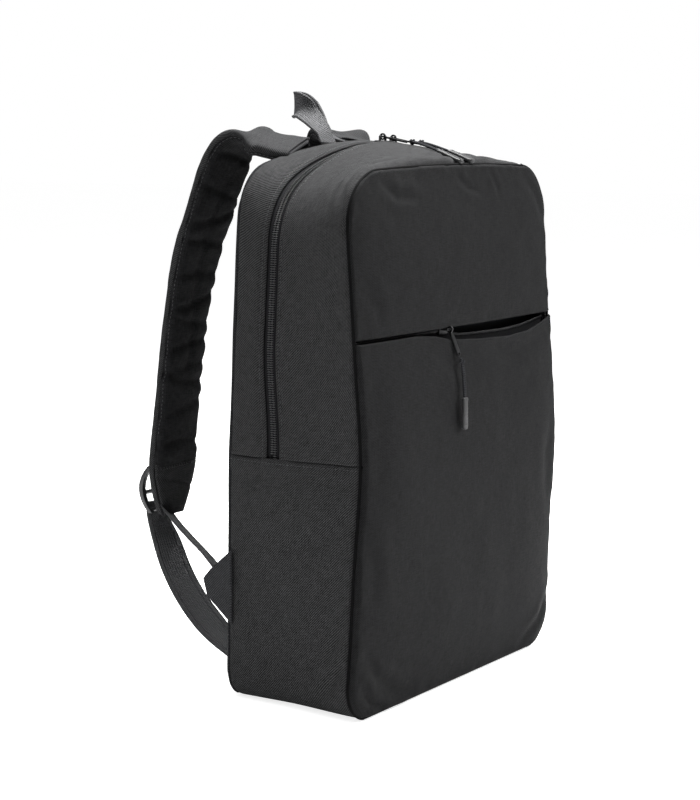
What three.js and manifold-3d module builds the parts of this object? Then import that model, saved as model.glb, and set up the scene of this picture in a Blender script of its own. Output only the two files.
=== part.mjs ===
// A school backpack standing on its base: fabric shell, zips with sliders and corded
// pulls, padded back, laptop sleeve, grab handle and two padded shoulder straps.
// Millimetres, +Z up, the front of the bag towards -Y, the wearer's back towards +Y.
// The origin is the centre of the flat base.
import * as THREE from 'three';
import { mergeVertices } from 'three/addons/utils/BufferGeometryUtils.js';
import Module from 'manifold-3d';

const wasm = await Module();
wasm.setup();

// ---- Driving dimensions ----
const depth = 120;              // front seam to rear seam
const frontHeight = 421;        // base to the front top seam
const frontHalf = 154;          // half width at the front seam, at the band seam
const zipHeight = 438.5;        // base to the crown of the main zip
const zipHalf = 150;
const zipCrownRadius = 205;     // the main zip's top is an arc of this radius
const rearHeight = 434;
const rearHalf = 147;
const zipY = 17;                // depth position of the main zip
const bandSeam = 197;           // height where the lower band meets the upper bands
const footFrontHalf = 157;      // half width near the base, at the front and rear seams
const footRearHalf = 151;
const footFrontCorner = 30;
const footRearCorner = 22;
const slitHeight = 291;         // height of the front pocket's zip

const gap = 0.3;                // between pieces that touch
const fabric = 2;               // wall of the shell, fabric with its backing
const tapeWall = 0.8;
const tapeClear = 0.5;          // shell fabric to the zip tape under it
const zipSlot = 12;             // opening between the fabric edges beside the main zip
const tapeWidth = 15;
const coilWidth = 2.6;
const coilHeight = 1.4;
const coilGap = 0.4;
const runClear = 0.6;           // slider to coil
const slitWidth = 2.6;          // between the lips of the front pocket
const bindingWidth = 8;
const liningWall = 1.2;
const liningSetback = 10.8;     // front seam to the front lining
const sheetClear = 1.2;         // edge of an inner sheet to the bands round it
const upperBulge = 4;
const lowerBulge = 9;
const lipSag = 6;               // how far the unzipped lower lip drops
const backRise = 8;             // how far the back panel stands proud of its seam
const backMargin = 15;          // soft rim around the foam of the back
const sleeveHeight = 300;
const sleeveHalf = 125;
const sleeveY = 28;
const sleeveWall = 3;

const sliderLength = 13;
const sliderWall = 1.2;
const bailWidth = 1.6;
const bailBar = 1.6;
const bailReach = 10;
const eyeClear = 0.4;
const eyeWall = 1.3;
const tabLength = 24;
const tabWidth = 4.4;
const tabWall = 1.4;
const cordDiameter = 2;
const pullEnd = { length: 26, width: 7, wall: 3.2 };

const webWidth = 25;
const webWall = 1.6;
const strapWidth = 60;
const strapEndWidth = 26;
const strapTaper = 52;
const skinWall = 1.6;
const foamWall = 6;
const bindingWall = 1;
const strapCap = 46;
const lock = { width: 34, height: 40, rail: 4.5, wall: 4, bar: 4, bow: 7 };
const loopSewn = 38;

const leftSliderX = 8;
const rightSliderX = 24;
const pocketSliderX = -22;

// ---- Materials ----
const finishes = {
  twill: { color: '#3b3c3f', roughness: 0.86, metalness: 0 },
  panel: { color: '#323336', roughness: 0.8, metalness: 0 },
  lining: { color: '#26272a', roughness: 0.9, metalness: 0 },
  mesh: { color: '#2b2c2f', roughness: 0.95, metalness: 0 },
  foam: { color: '#4a4b4e', roughness: 1, metalness: 0 },
  webbing: { color: '#34353a', roughness: 0.8, metalness: 0 },
  tape: { color: '#1f2022', roughness: 0.85, metalness: 0 },
  coil: { color: '#232427', roughness: 0.45, metalness: 0 },
  metal: { color: '#2d2e31', roughness: 0.35, metalness: 0.8 },
  plastic: { color: '#2a2b2e', roughness: 0.4, metalness: 0 },
  cord: { color: '#2c2d30', roughness: 0.8, metalness: 0 },
  rubber: { color: '#4c4d50', roughness: 0.6, metalness: 0 },
};
const materials = {};
for (const [name, finish] of Object.entries(finishes)) {
  materials[name] = new THREE.MeshStandardMaterial(finish);
}

const backpack = new THREE.Group();

function addPart(name, geometry, finish, parent = backpack) {
  const mesh = new THREE.Mesh(geometry, materials[finish]);
  mesh.name = name;
  parent.add(mesh);
  return mesh;
}

// ---- Geometry helpers ----
function signedVolume(positions, index) {
  const [a, b, c] = [new THREE.Vector3(), new THREE.Vector3(), new THREE.Vector3()];
  let volume = 0;
  for (let i = 0; i < index.length; i += 3) {
    a.fromArray(positions, 3 * index[i]);
    b.fromArray(positions, 3 * index[i + 1]);
    c.fromArray(positions, 3 * index[i + 2]);
    volume += a.dot(b.cross(c)) / 6;
  }
  return volume;
}

function closedGeometry(positions, index) {
  const outward = signedVolume(positions, index) > 0 ? index : [...index].reverse();
  const geometry = new THREE.BufferGeometry();
  geometry.setAttribute('position', new THREE.Float32BufferAttribute(positions, 3));
  geometry.setIndex(outward);
  geometry.computeVertexNormals();
  return geometry;
}

// A sheet with two faces, each a grid of points, closed round its edges.
// With ring set, the last row joins the first.
function slab(outer, inner, ring = false) {
  const rows = outer.length;
  const columns = outer[0].length;
  const positions = [];
  for (const face of [outer, inner]) {
    for (const row of face) {
      for (const point of row) positions.push(point.x, point.y, point.z);
    }
  }
  const at = (face, i, j) => face * rows * columns + (i % rows) * columns + j;
  const index = [];
  const quad = (a, b, c, d) => index.push(a, b, c, a, c, d);
  const lastRow = ring ? rows : rows - 1;
  for (let i = 0; i < lastRow; i += 1) {
    for (let j = 0; j < columns - 1; j += 1) {
      quad(at(0, i, j), at(0, i + 1, j), at(0, i + 1, j + 1), at(0, i, j + 1));
      quad(at(1, i, j + 1), at(1, i + 1, j + 1), at(1, i + 1, j), at(1, i, j));
    }
    quad(at(1, i, 0), at(1, i + 1, 0), at(0, i + 1, 0), at(0, i, 0));
    const j = columns - 1;
    quad(at(0, i, j), at(0, i + 1, j), at(1, i + 1, j), at(1, i, j));
  }
  if (!ring) {
    for (let j = 0; j < columns - 1; j += 1) {
      quad(at(0, 0, j), at(0, 0, j + 1), at(1, 0, j + 1), at(1, 0, j));
      const i = rows - 1;
      quad(at(1, i, j), at(1, i, j + 1), at(0, i, j + 1), at(0, i, j));
    }
  }
  return closedGeometry(positions, index);
}

function mirrored(geometry) {
  const positions = Array.from(geometry.attributes.position.array);
  for (let i = 0; i < positions.length; i += 3) positions[i] *= -1;
  const index = geometry.index ? Array.from(geometry.index.array) : positions.map((_, i) => i);
  return closedGeometry(positions, geometry.index ? index : index.slice(0, positions.length / 3));
}

function toSolid(geometry) {
  const bare = geometry.clone();
  bare.deleteAttribute('normal');
  bare.deleteAttribute('uv');
  const merged = mergeVertices(bare);
  return new wasm.Manifold(new wasm.Mesh({
    numProp: 3,
    vertProperties: new Float32Array(merged.attributes.position.array),
    triVerts: new Uint32Array(merged.index.array),
  }));
}

function joined(geometries) {
  const solid = geometries.map(toSolid).reduce((sum, next) => sum.add(next));
  const mesh = solid.getMesh();
  return closedGeometry(Array.from(mesh.vertProperties), Array.from(mesh.triVerts));
}

function extruded(shape, length, curveSegments = 12) {
  return new THREE.ExtrudeGeometry(shape, { depth: length, bevelEnabled: false, curveSegments });
}

// Turns an extrusion drawn in (Y, Z) and extruded along its own Z so that it runs along X,
// centred on X = 0.
function alongX(shape, length, curveSegments = 12) {
  const geometry = extruded(shape, length, curveSegments);
  geometry.translate(0, 0, -length / 2);
  geometry.applyMatrix4(new THREE.Matrix4().makeBasis(
    new THREE.Vector3(0, 1, 0), new THREE.Vector3(0, 0, 1), new THREE.Vector3(1, 0, 0),
  ));
  return geometry;
}

const lerp = THREE.MathUtils.lerp;
const steps = (count) => Array.from({ length: count + 1 }, (_, i) => i / count);

// The points of a full circle, each once.
function circle(radius, count, y = 0) {
  return steps(count).slice(0, -1).map((f) => new THREE.Vector2(
    radius * Math.cos(2 * Math.PI * f), y + radius * Math.sin(2 * Math.PI * f),
  ));
}

// ---- The bag's outline at any depth ----
// The upper outline is an arc over the top, a round corner and a leaning side down to the
// band seam. The lower outline is a side, a round corner and the flat base.
const sections = [
  { y: -depth / 2, top: frontHeight, bend: 1 / 2500, corner: 42, lean: 0.5, half: frontHalf,
    foot: footFrontHalf, footCorner: footFrontCorner },
  { y: zipY, top: zipHeight, bend: 1 / zipCrownRadius, corner: 62, lean: 4.5, half: zipHalf,
    foot: (footFrontHalf + footRearHalf) / 2, footCorner: (footFrontCorner + footRearCorner) / 2 },
  { y: depth / 2, top: rearHeight, bend: 1 / 420, corner: 44, lean: 4.5, half: rearHalf,
    foot: footRearHalf, footCorner: footRearCorner },
];

function between(y, key) {
  const [a, b, c] = sections;
  return a[key] * (y - b.y) * (y - c.y) / ((a.y - b.y) * (a.y - c.y))
    + b[key] * (y - a.y) * (y - c.y) / ((b.y - a.y) * (b.y - c.y))
    + c[key] * (y - a.y) * (y - b.y) / ((c.y - a.y) * (c.y - b.y));
}

function outlineAt(y) {
  const top = between(y, 'top');
  const radius = 1 / between(y, 'bend');
  const corner = between(y, 'corner');
  const lean = THREE.MathUtils.degToRad(between(y, 'lean'));
  const half = between(y, 'half');
  const cornerEnd = (angle) => ({
    x: (radius - corner) * Math.sin(angle) + corner * Math.cos(lean),
    z: top - radius + (radius - corner) * Math.cos(angle) + corner * Math.sin(lean),
  });
  let low = 0;
  let high = Math.PI / 3;
  for (let i = 0; i < 50; i += 1) {
    const middle = (low + high) / 2;
    const end = cornerEnd(middle);
    if (end.x + Math.tan(lean) * (end.z - bandSeam) < half) low = middle;
    else high = middle;
  }
  return {
    y, top, radius, corner, lean, half, angle: low, end: cornerEnd(low),
    foot: between(y, 'foot'), footCorner: between(y, 'footCorner'), footCentre: between(y, 'footCorner'),
  };
}

// The outline moved inwards by a distance.
function insetOutline(shape, inset) {
  const { top, radius, corner, lean, half, foot, footCorner, end } = shape;
  return {
    ...shape,
    top: top - inset,
    radius: radius - inset,
    corner: corner - inset,
    half: half - inset / Math.cos(lean),
    end: { x: end.x - inset * Math.cos(lean), z: end.z - inset * Math.sin(lean) },
    foot: foot - inset,
    footCorner: footCorner - inset,
  };
}

const sideSteps = 4;
const cornerSteps = 5;
const crownSteps = 12;
const upperStations = [
  ...steps(sideSteps).slice(0, -1).map((f) => ({ zone: 'side', side: -1, f })),
  ...steps(cornerSteps).slice(0, -1).map((f) => ({ zone: 'corner', side: -1, f })),
  ...steps(crownSteps).map((f) => ({ zone: 'crown', side: 1, f })),
  ...steps(cornerSteps).slice(0, -1).reverse().map((f) => ({ zone: 'corner', side: 1, f })),
  ...steps(sideSteps).slice(0, -1).reverse().map((f) => ({ zone: 'side', side: 1, f })),
];

function upperPoint(shape, station, inset) {
  const { top, radius, corner, lean, half, angle, end } = shape;
  if (station.zone === 'side') {
    const x = lerp(half, end.x, station.f) - inset / Math.cos(lean);
    return new THREE.Vector3(station.side * x, shape.y, lerp(bandSeam, end.z, station.f));
  }
  if (station.zone === 'corner') {
    const turn = lerp(Math.PI / 2 - lean, angle, station.f);
    const x = (radius - corner) * Math.sin(angle) + (corner - inset) * Math.sin(turn);
    const z = top - radius + (radius - corner) * Math.cos(angle) + (corner - inset) * Math.cos(turn);
    return new THREE.Vector3(station.side * x, shape.y, z);
  }
  const turn = lerp(-angle, angle, station.f);
  const reach = radius - inset;
  return new THREE.Vector3(reach * Math.sin(turn), shape.y, top - radius + reach * Math.cos(turn));
}

const footSteps = 4;
const baseSteps = 4;
const lowerStations = [
  ...steps(3).slice(0, -1).map((f) => ({ zone: 'side', side: -1, f })),
  ...steps(footSteps).slice(0, -1).map((f) => ({ zone: 'corner', side: -1, f })),
  ...steps(baseSteps).map((f) => ({ zone: 'base', side: 1, f })),
  ...steps(footSteps).slice(0, -1).reverse().map((f) => ({ zone: 'corner', side: 1, f })),
  ...steps(3).slice(0, -1).reverse().map((f) => ({ zone: 'side', side: 1, f })),
];

function lowerPoint(shape, station, inset) {
  const { half, foot, footCorner } = shape;
  if (station.zone === 'side') {
    const x = lerp(half, foot, station.f) - inset;
    return new THREE.Vector3(station.side * x, shape.y, lerp(bandSeam - gap, footCorner, station.f));
  }
  const centre = foot - footCorner;
  if (station.zone === 'corner') {
    const turn = station.f * Math.PI / 2;
    const x = centre + (footCorner - inset) * Math.cos(turn);
    return new THREE.Vector3(station.side * x, shape.y, footCorner - (footCorner - inset) * Math.sin(turn));
  }
  return new THREE.Vector3(lerp(-centre, centre, station.f), shape.y, inset);
}

// A strip that follows the upper outline between two depths and two insets.
function strip(pointOn, stations, y0, y1, outerInset, innerInset, count) {
  const shapes = steps(count).map((f) => outlineAt(lerp(y0, y1, f)));
  const face = (inset) => stations.map((s) => shapes.map((shape) => pointOn(shape, s, inset)));
  return slab(face(outerInset), face(innerInset));
}

const upperStrip = (...sizes) => strip(upperPoint, upperStations, ...sizes);

const frontY = -depth / 2;
const rearY = depth / 2;

// ---- Shell bands ----
function buildBands() {
  addPart('gusset_front_band', upperStrip(frontY, zipY - zipSlot / 2, 0, fabric, 4), 'twill');
  addPart('gusset_rear_band', upperStrip(zipY + zipSlot / 2, rearY, 0, fabric, 3), 'twill');
  const base = strip(lowerPoint, lowerStations, frontY, rearY, 0, fabric, 4);
  addPart('lower_band', base, 'twill');
}

// ---- Seam bindings: closed loops inside the front and rear seams ----
function seamBinding(y0, y1) {
  const inset = fabric + sheetClear;
  const shapes = [y0, y1].map(outlineAt);
  const face = (depthIn) => [
    ...upperStations.map((s) => shapes.map((shape) => upperPoint(shape, s, depthIn))),
    ...[...lowerStations].reverse().map((s) => shapes.map((shape) => lowerPoint(shape, s, depthIn))),
  ];
  return slab(face(inset), face(inset + fabric), true);
}

// ---- Panels that close the front and the back ----
// Rows run from one height to another, each as wide as the outline there.
function rowsBetween(shape, bottom, top) {
  const heights = new Set([bottom, top]);
  const add = (z) => {
    if (z > bottom + 1 && z < top - 1) heights.add(z);
  };
  for (const f of steps(footSteps)) add(shape.footCentre - shape.footCorner * Math.sin(f * Math.PI / 2));
  for (const f of steps(6)) add(lerp(shape.footCentre, shape.end.z, f));
  const centreZ = shape.top - shape.radius + (shape.radius - shape.corner) * Math.cos(shape.angle);
  for (const f of steps(cornerSteps)) {
    add(centreZ + shape.corner * Math.cos(lerp(Math.PI / 2 - shape.lean, shape.angle, f)));
  }
  return [...heights].sort((a, b) => a - b);
}

function halfWidthAt(shape, z) {
  if (z < shape.footCentre) {
    const rise = shape.footCentre - z;
    return shape.foot - shape.footCorner + Math.sqrt(Math.max(0, shape.footCorner ** 2 - rise ** 2));
  }
  if (z < bandSeam) return lerp(shape.foot, shape.half, (z - shape.footCentre) / (bandSeam - shape.footCentre));
  if (z < shape.end.z) return lerp(shape.half, shape.end.x, (z - bandSeam) / (shape.end.z - bandSeam));
  const centreX = (shape.radius - shape.corner) * Math.sin(shape.angle);
  const centreZ = shape.top - shape.radius + (shape.radius - shape.corner) * Math.cos(shape.angle);
  return centreX + Math.sqrt(Math.max(0, shape.corner ** 2 - (z - centreZ) ** 2));
}

const cornerTopOf = (shape) => shape.top - shape.radius * (1 - Math.cos(shape.angle));

// The top edge of a panel follows the arc over the top, and the rows below it flatten out.
function archAt(shape, x, z) {
  const cornerTop = cornerTopOf(shape);
  const reach = shape.radius * Math.sin(shape.angle);
  const arc = shape.top - shape.radius + Math.sqrt(shape.radius ** 2 - Math.min(Math.abs(x), reach) ** 2);
  const share = THREE.MathUtils.smoothstep(z, shape.end.z, cornerTop);
  return z + (arc - cornerTop) * share;
}

function panelFace(shape, heights, depthAt, drop = () => 0) {
  return heights.map((height, row) => steps(8).map((f) => {
    const across = 2 * f - 1;
    const x = across * halfWidthAt(shape, height);
    const z = archAt(shape, x, height) - (row === heights.length - 1 ? drop(x) : 0);
    return new THREE.Vector3(x, depthAt(across, height), z);
  }));
}

// A flat sheet inside the bands.
function innerSheet(y, wall) {
  const inset = fabric + sheetClear;
  const shape = insetOutline(outlineAt(y + wall / 2), inset);
  const rows = rowsBetween(shape, inset, cornerTopOf(shape));
  const face = (at) => panelFace(shape, rows, () => at);
  return slab(face(y), face(y + wall));
}

const swell = (across) => 1 - across ** 4;

function lipDrop(x) {
  const open = (x - pocketSliderX) / (frontHalf - pocketSliderX);
  return open > 0 ? lipSag * Math.sin(Math.PI * Math.min(open, 1)) ** 2 : 0;
}

function buildFront() {
  const shape = outlineAt(frontY);
  const face = frontY - gap;
  const lowerTop = slitHeight - slitWidth / 2;
  const upperBottom = slitHeight + slitWidth / 2;
  const cornerTop = cornerTopOf(shape);
  const lowerRows = rowsBetween(shape, 0, lowerTop);
  const upperRows = rowsBetween(shape, upperBottom, cornerTop);
  const lowerSwell = (z) => lowerBulge * (1 - Math.abs(2 * z / lowerTop - 1) ** 3);
  const upperSwell = (z) => upperBulge * (1 - Math.abs(2 * (z - upperBottom) / (cornerTop - upperBottom) - 1) ** 3);
  const lower = (extra) => panelFace(shape, lowerRows,
    (across, z) => face - extra - swell(across) * lowerSwell(z), lipDrop);
  const upper = (extra) => panelFace(shape, upperRows,
    (across, z) => face - extra - swell(across) * upperSwell(z));
  addPart('front_panel_lower', slab(lower(fabric), lower(0)), 'panel');
  addPart('front_panel_upper', slab(upper(fabric), upper(0)), 'panel');

  addPart('front_lining', innerSheet(frontY + liningSetback, liningWall), 'lining');
  addPart('front_seam_binding', seamBinding(frontY + gap, frontY + gap + bindingWidth), 'tape');
}

function buildBack() {
  const shape = outlineAt(rearY);
  const face = rearY + gap;
  const cornerTop = cornerTopOf(shape);
  const margins = [backMargin, cornerTop - backMargin];
  const rows = [...rowsBetween(shape, 0, cornerTop), ...margins].sort((a, b) => a - b);
  const edge = (distance) => THREE.MathUtils.smoothstep(distance, 0, backMargin);
  const rise = (across, z) => {
    const side = (1 - Math.abs(across)) * shape.half;
    return backRise * Math.min(edge(side), edge(z), edge(cornerTop - z));
  };
  const spread = [-1, -0.97, -0.9, -0.4, 0.4, 0.9, 0.97, 1];
  const skin = (extra) => rows.map((height) => spread.map((across) => {
    const x = across * halfWidthAt(shape, height);
    return new THREE.Vector3(x, face + extra + rise(across, height), archAt(shape, x, height));
  }));
  addPart('back_panel', slab(skin(fabric), skin(0)), 'mesh');

  const foamInset = backMargin + 4 * fabric;
  const foamShape = insetOutline(shape, foamInset);
  const foamRows = rowsBetween(foamShape, foamInset, cornerTopOf(foamShape));
  const foam = (y) => panelFace(foamShape, foamRows, () => y);
  addPart('back_foam', slab(foam(face), foam(face + backRise - 2 * gap)), 'foam');

  addPart('back_lining', innerSheet(rearY - gap - liningWall, liningWall), 'lining');
  const bindingY = rearY - 2 * gap - liningWall;
  addPart('rear_seam_binding', seamBinding(bindingY - bindingWidth, bindingY), 'tape');
}

// ---- Laptop sleeve: a channel against the back, open at the top ----
function buildSleeve() {
  const backEdge = rearY - 3 * gap - liningWall - bindingWidth;
  const outline = new THREE.Shape();
  outline.moveTo(-sleeveHalf, sleeveY);
  outline.lineTo(sleeveHalf, sleeveY);
  outline.lineTo(sleeveHalf, backEdge);
  outline.lineTo(sleeveHalf - sleeveWall, backEdge);
  outline.lineTo(sleeveHalf - sleeveWall, sleeveY + sleeveWall);
  outline.lineTo(-sleeveHalf + sleeveWall, sleeveY + sleeveWall);
  outline.lineTo(-sleeveHalf + sleeveWall, backEdge);
  outline.lineTo(-sleeveHalf, backEdge);
  const bottom = fabric + 2 * gap;
  const channel = extruded(outline, sleeveHeight - bottom);
  channel.translate(0, 0, bottom);
  addPart('laptop_sleeve', channel, 'lining');

  const trim = new THREE.BoxGeometry(2 * sleeveHalf, sleeveWall, bindingWidth);
  trim.translate(0, sleeveY + sleeveWall / 2, sleeveHeight + gap + bindingWidth / 2);
  addPart('sleeve_binding', trim, 'tape');
}

// ---- Main zip ----
const tapeInset = fabric + tapeClear;
const coilInset = tapeInset - gap;
const coilHalf = coilGap / 2 + coilWidth;

function buildMainZip() {
  const tapeFar = coilHalf + tapeWidth - coilWidth;
  const sides = [['front', -1], ['rear', 1]];
  for (const [name, side] of sides) {
    const tapeNear = zipY + side * coilGap / 2;
    const tapeEdge = zipY + side * tapeFar;
    const tape = upperStrip(
      Math.min(tapeNear, tapeEdge), Math.max(tapeNear, tapeEdge), tapeInset, tapeInset + tapeWall, 2,
    );
    addPart(`main_zip_tape_${name}`, tape, 'tape');
    const coilFar = zipY + side * coilHalf;
    const coil = upperStrip(
      Math.min(tapeNear, coilFar), Math.max(tapeNear, coilFar), coilInset - coilHeight, coilInset, 1,
    );
    addPart(`main_zip_coil_${name}`, coil, 'coil');
  }
}

// ---- Zip sliders, tabs, cords and moulded ends ----
// A slider straddles the coil. Its own frame has X along the zip, Z outwards and its
// origin on the tape, below the coil's middle.
function sliderGeometry(barHeight) {
  const channel = coilHalf + runClear;
  const ceiling = coilHeight + runClear;
  const section = new THREE.Shape();
  section.moveTo(-channel - sliderWall, 0);
  section.lineTo(-channel, 0);
  section.lineTo(-channel, ceiling);
  section.lineTo(channel, ceiling);
  section.lineTo(channel, 0);
  section.lineTo(channel + sliderWall, 0);
  section.lineTo(channel + sliderWall, ceiling + sliderWall / 2);
  section.lineTo(channel, ceiling + sliderWall);
  section.lineTo(-channel, ceiling + sliderWall);
  section.lineTo(-channel - sliderWall, ceiling + sliderWall / 2);
  const body = alongX(section, sliderLength);

  const foot = ceiling + sliderWall / 2;
  const barTop = barHeight + bailBar / 2;
  const arch = new THREE.Shape();
  arch.moveTo(-bailReach / 2, foot);
  arch.lineTo(bailReach / 2, foot);
  arch.lineTo(bailReach / 2, barTop - 1);
  arch.quadraticCurveTo(bailReach / 2, barTop, bailReach / 2 - 1, barTop);
  arch.lineTo(-bailReach / 2 + 1, barTop);
  arch.quadraticCurveTo(-bailReach / 2, barTop, -bailReach / 2, barTop - 1);
  const window = new THREE.Path();
  const inner = bailReach / 2 - bailBar;
  window.moveTo(-inner, foot + sliderWall / 2);
  window.lineTo(-inner, barHeight - bailBar / 2);
  window.lineTo(inner, barHeight - bailBar / 2);
  window.lineTo(inner, foot + sliderWall / 2);
  arch.holes.push(window);
  const bail = extruded(arch, bailWidth, 4);
  bail.translate(0, 0, -bailWidth / 2);
  bail.rotateX(Math.PI / 2);
  return joined([body, bail]);
}

// A tab's own frame has its origin on the bail's bar, X along the bar and the arm running
// towards -Y, turned sideways by skew.
function tabGeometry(skew) {
  const hole = Math.hypot(bailBar, bailWidth) / 2 + eyeClear;
  const ring = new THREE.Shape(circle(hole + eyeWall, 16));
  ring.holes.push(new THREE.Path(circle(hole, 16)));
  const eye = alongX(ring, tabWall);

  const start = hole + eyeWall / 2;
  const half = tabWidth / 2;
  const plate = new THREE.Shape();
  plate.moveTo(-half / 2, -start);
  plate.lineTo(half / 2, -start);
  plate.lineTo(half, -start - 3);
  plate.lineTo(half, -tabLength + half);
  plate.absarc(0, -tabLength + half, half, 0, -Math.PI, true);
  plate.lineTo(-half, -start - 3);
  plate.holes.push(new THREE.Path(circle(half / 2, 10, -tabLength + half)));
  const arm = extruded(plate, tabWall, 6);
  arm.translate(0, 0, -tabWall / 2);
  arm.rotateZ(skew);
  return joined([eye, arm]);
}

// A moulded end's own frame has its origin at its collar and its length towards -Y.
function pullEndGeometry() {
  const { length, width, wall } = pullEnd;
  const half = width / 2;
  const outline = new THREE.Shape();
  outline.moveTo(-half, 0);
  outline.lineTo(half, 0);
  outline.lineTo(half, -2);
  outline.lineTo(half * 0.8, -3.5);
  outline.lineTo(half, -length + half);
  outline.absarc(0, -length + half, half, 0, -Math.PI, true);
  outline.lineTo(-half * 0.8, -3.5);
  outline.lineTo(-half, -2);
  const geometry = extruded(outline, wall, 6);
  geometry.translate(0, 0, -wall / 2);
  return geometry;
}

function tubeAlong(points, shape, count) {
  const curve = new THREE.CatmullRomCurve3(points.map((p) => new THREE.Vector3(...p)));
  return new THREE.ExtrudeGeometry(shape, { steps: count, extrudePath: curve, curveSegments: 2 });
}

function roundSection(diameter) {
  return new THREE.Shape(circle(diameter / 2, 8));
}

const mainBarHeight = 6.4;
const pocketBarHeight = 8.9;

const mainPulls = [
  {
    side: 'left', x: leftSliderX, swing: 11, skew: 0,
    cord: [[7.8, -8.6, 438.6], [7.4, -13, 438], [6.8, -18, 437.1], [6.2, -24, 435.6], [5.4, -30, 433.8],
      [4.6, -35.5, 432.2], [4.2, -38.4, 431.3]],
    end: { at: [4.1, -38.8, 431.2], slope: 19, turn: -9 },
  },
  {
    side: 'right', x: rightSliderX, swing: 11, skew: 0,
    cord: [[23.9, -8.7, 438], [23.7, -13, 437.4], [23.3, -18, 436.5], [22.8, -24, 435], [22.2, -30, 433.3],
      [21.6, -35.5, 431.7], [21.2, -38.4, 430.9]],
    end: { at: [21.1, -38.8, 430.8], slope: 18, turn: -8 },
  },
];

function buildMainPulls() {
  for (const pull of mainPulls) {
    const reach = zipCrownRadius - coilInset;
    const turn = Math.asin(pull.x / zipCrownRadius);
    const seat = new THREE.Group();
    seat.position.set(reach * Math.sin(turn), zipY, zipHeight - zipCrownRadius + reach * Math.cos(turn));
    seat.rotation.y = turn;
    backpack.add(seat);
    addPart(`main_slider_${pull.side}`, sliderGeometry(mainBarHeight), 'metal', seat);
    const tab = addPart(`main_tab_${pull.side}`, tabGeometry(pull.skew), 'metal', seat);
    tab.position.z = mainBarHeight;
    tab.rotation.x = THREE.MathUtils.degToRad(pull.swing);

    const cord = tubeAlong(pull.cord, roundSection(cordDiameter), 8);
    addPart(`main_pull_cord_${pull.side}`, cord, 'cord');
    const end = addPart(`main_cord_end_${pull.side}`, pullEndGeometry(), 'rubber');
    end.position.set(...pull.end.at);
    end.rotation.order = 'ZXY';
    end.rotation.x = THREE.MathUtils.degToRad(pull.end.slope);
    end.rotation.z = THREE.MathUtils.degToRad(pull.end.turn);
  }
}

// ---- Front pocket zip ----
const pocketTapeY = frontY + 3.6;
const pocketCord = [[-12.7, -70.3, 267.3], [-12.2, -71.2, 262], [-12, -72, 256], [-12, -72.6, 250],
  [-12.1, -73.1, 244], [-12.2, -73.5, 239], [-12.2, -73.7, 236.3]];

function buildPocketZip() {
  const shape = outlineAt(frontY);
  const half = halfWidthAt(shape, slitHeight) - 2 * fabric - 3 * sheetClear;
  const tapeFar = coilHalf + tapeWidth - coilWidth;
  for (const [name, side] of [['upper', 1], ['lower', -1]]) {
    const width = tapeFar - coilGap / 2;
    const tape = new THREE.BoxGeometry(2 * half, tapeWall, width);
    tape.translate(0, pocketTapeY + tapeWall / 2, slitHeight + side * (coilGap / 2 + width / 2));
    addPart(`pocket_zip_tape_${name}`, tape, 'tape');
    const coil = new THREE.BoxGeometry(2 * half, coilHeight, coilWidth);
    coil.translate(0, pocketTapeY - gap - coilHeight / 2, slitHeight + side * (coilGap + coilWidth) / 2);
    addPart(`pocket_zip_coil_${name}`, coil, 'coil');
  }

  const seat = new THREE.Group();
  seat.position.set(pocketSliderX, pocketTapeY - gap, slitHeight);
  seat.rotation.x = Math.PI / 2;
  backpack.add(seat);
  addPart('pocket_slider', sliderGeometry(pocketBarHeight), 'metal', seat);
  const tab = addPart('pocket_tab', tabGeometry(THREE.MathUtils.degToRad(21)), 'metal', seat);
  tab.position.z = pocketBarHeight;
  tab.rotation.x = THREE.MathUtils.degToRad(-10);

  addPart('pocket_pull_cord', tubeAlong(pocketCord, roundSection(cordDiameter), 8), 'cord');
  const end = addPart('pocket_cord_end', pullEndGeometry(), 'rubber');
  end.position.set(-12.2, -74.2, 235.8);
  end.rotation.x = Math.PI / 2;
}

// ---- Ribbons: webbing and straps swept along a line, with a chosen width direction ----
function frameAlong(points, widths, count) {
  const curve = new THREE.CatmullRomCurve3(points.map((p) => new THREE.Vector3(...p)));
  const across = new THREE.CatmullRomCurve3(widths.map((p) => new THREE.Vector3(...p)));
  return steps(count).map((t) => {
    const tangent = curve.getTangent(t);
    const width = across.getPoint(t);
    width.addScaledVector(tangent, -width.dot(tangent)).normalize();
    return { centre: curve.getPoint(t), tangent, width, normal: new THREE.Vector3().crossVectors(tangent, width) };
  });
}

function placed(frame, across, out) {
  return frame.centre.clone().addScaledVector(frame.width, across).addScaledVector(frame.normal, out);
}

function ribbon(points, widths, width, wall, count) {
  const frames = frameAlong(points, widths, count);
  const face = (out) => frames.map((frame) => [-width / 2, 0, width / 2].map((v) => placed(frame, v, out)));
  return slab(face(-wall / 2), face(wall / 2));
}

function buildHandle() {
  const line = [[-8, 60, 437], [-7.5, 66, 442], [-6.5, 76, 450], [-5, 87, 458.5], [-2, 97, 466], [3.5, 102, 469],
    [9, 98, 467.5], [12, 88, 461], [12.5, 77, 453], [11.5, 68, 446], [9.5, 63.5, 440.5]];
  const across = [[1, 0, 0], [0.9, -0.25, 0.3], [0.5, -0.5, 0.7], [0.15, -0.45, 0.88], [0, -0.3, 0.95],
    [0, -0.15, 1], [0, -0.3, 0.95], [-0.15, -0.45, 0.88], [-0.5, -0.5, 0.7], [-0.85, -0.35, 0.4], [-1, 0, 0.1]];
  addPart('grab_handle', ribbon(line, across, webWidth - 3, webWall, 28), 'webbing');
}

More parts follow.
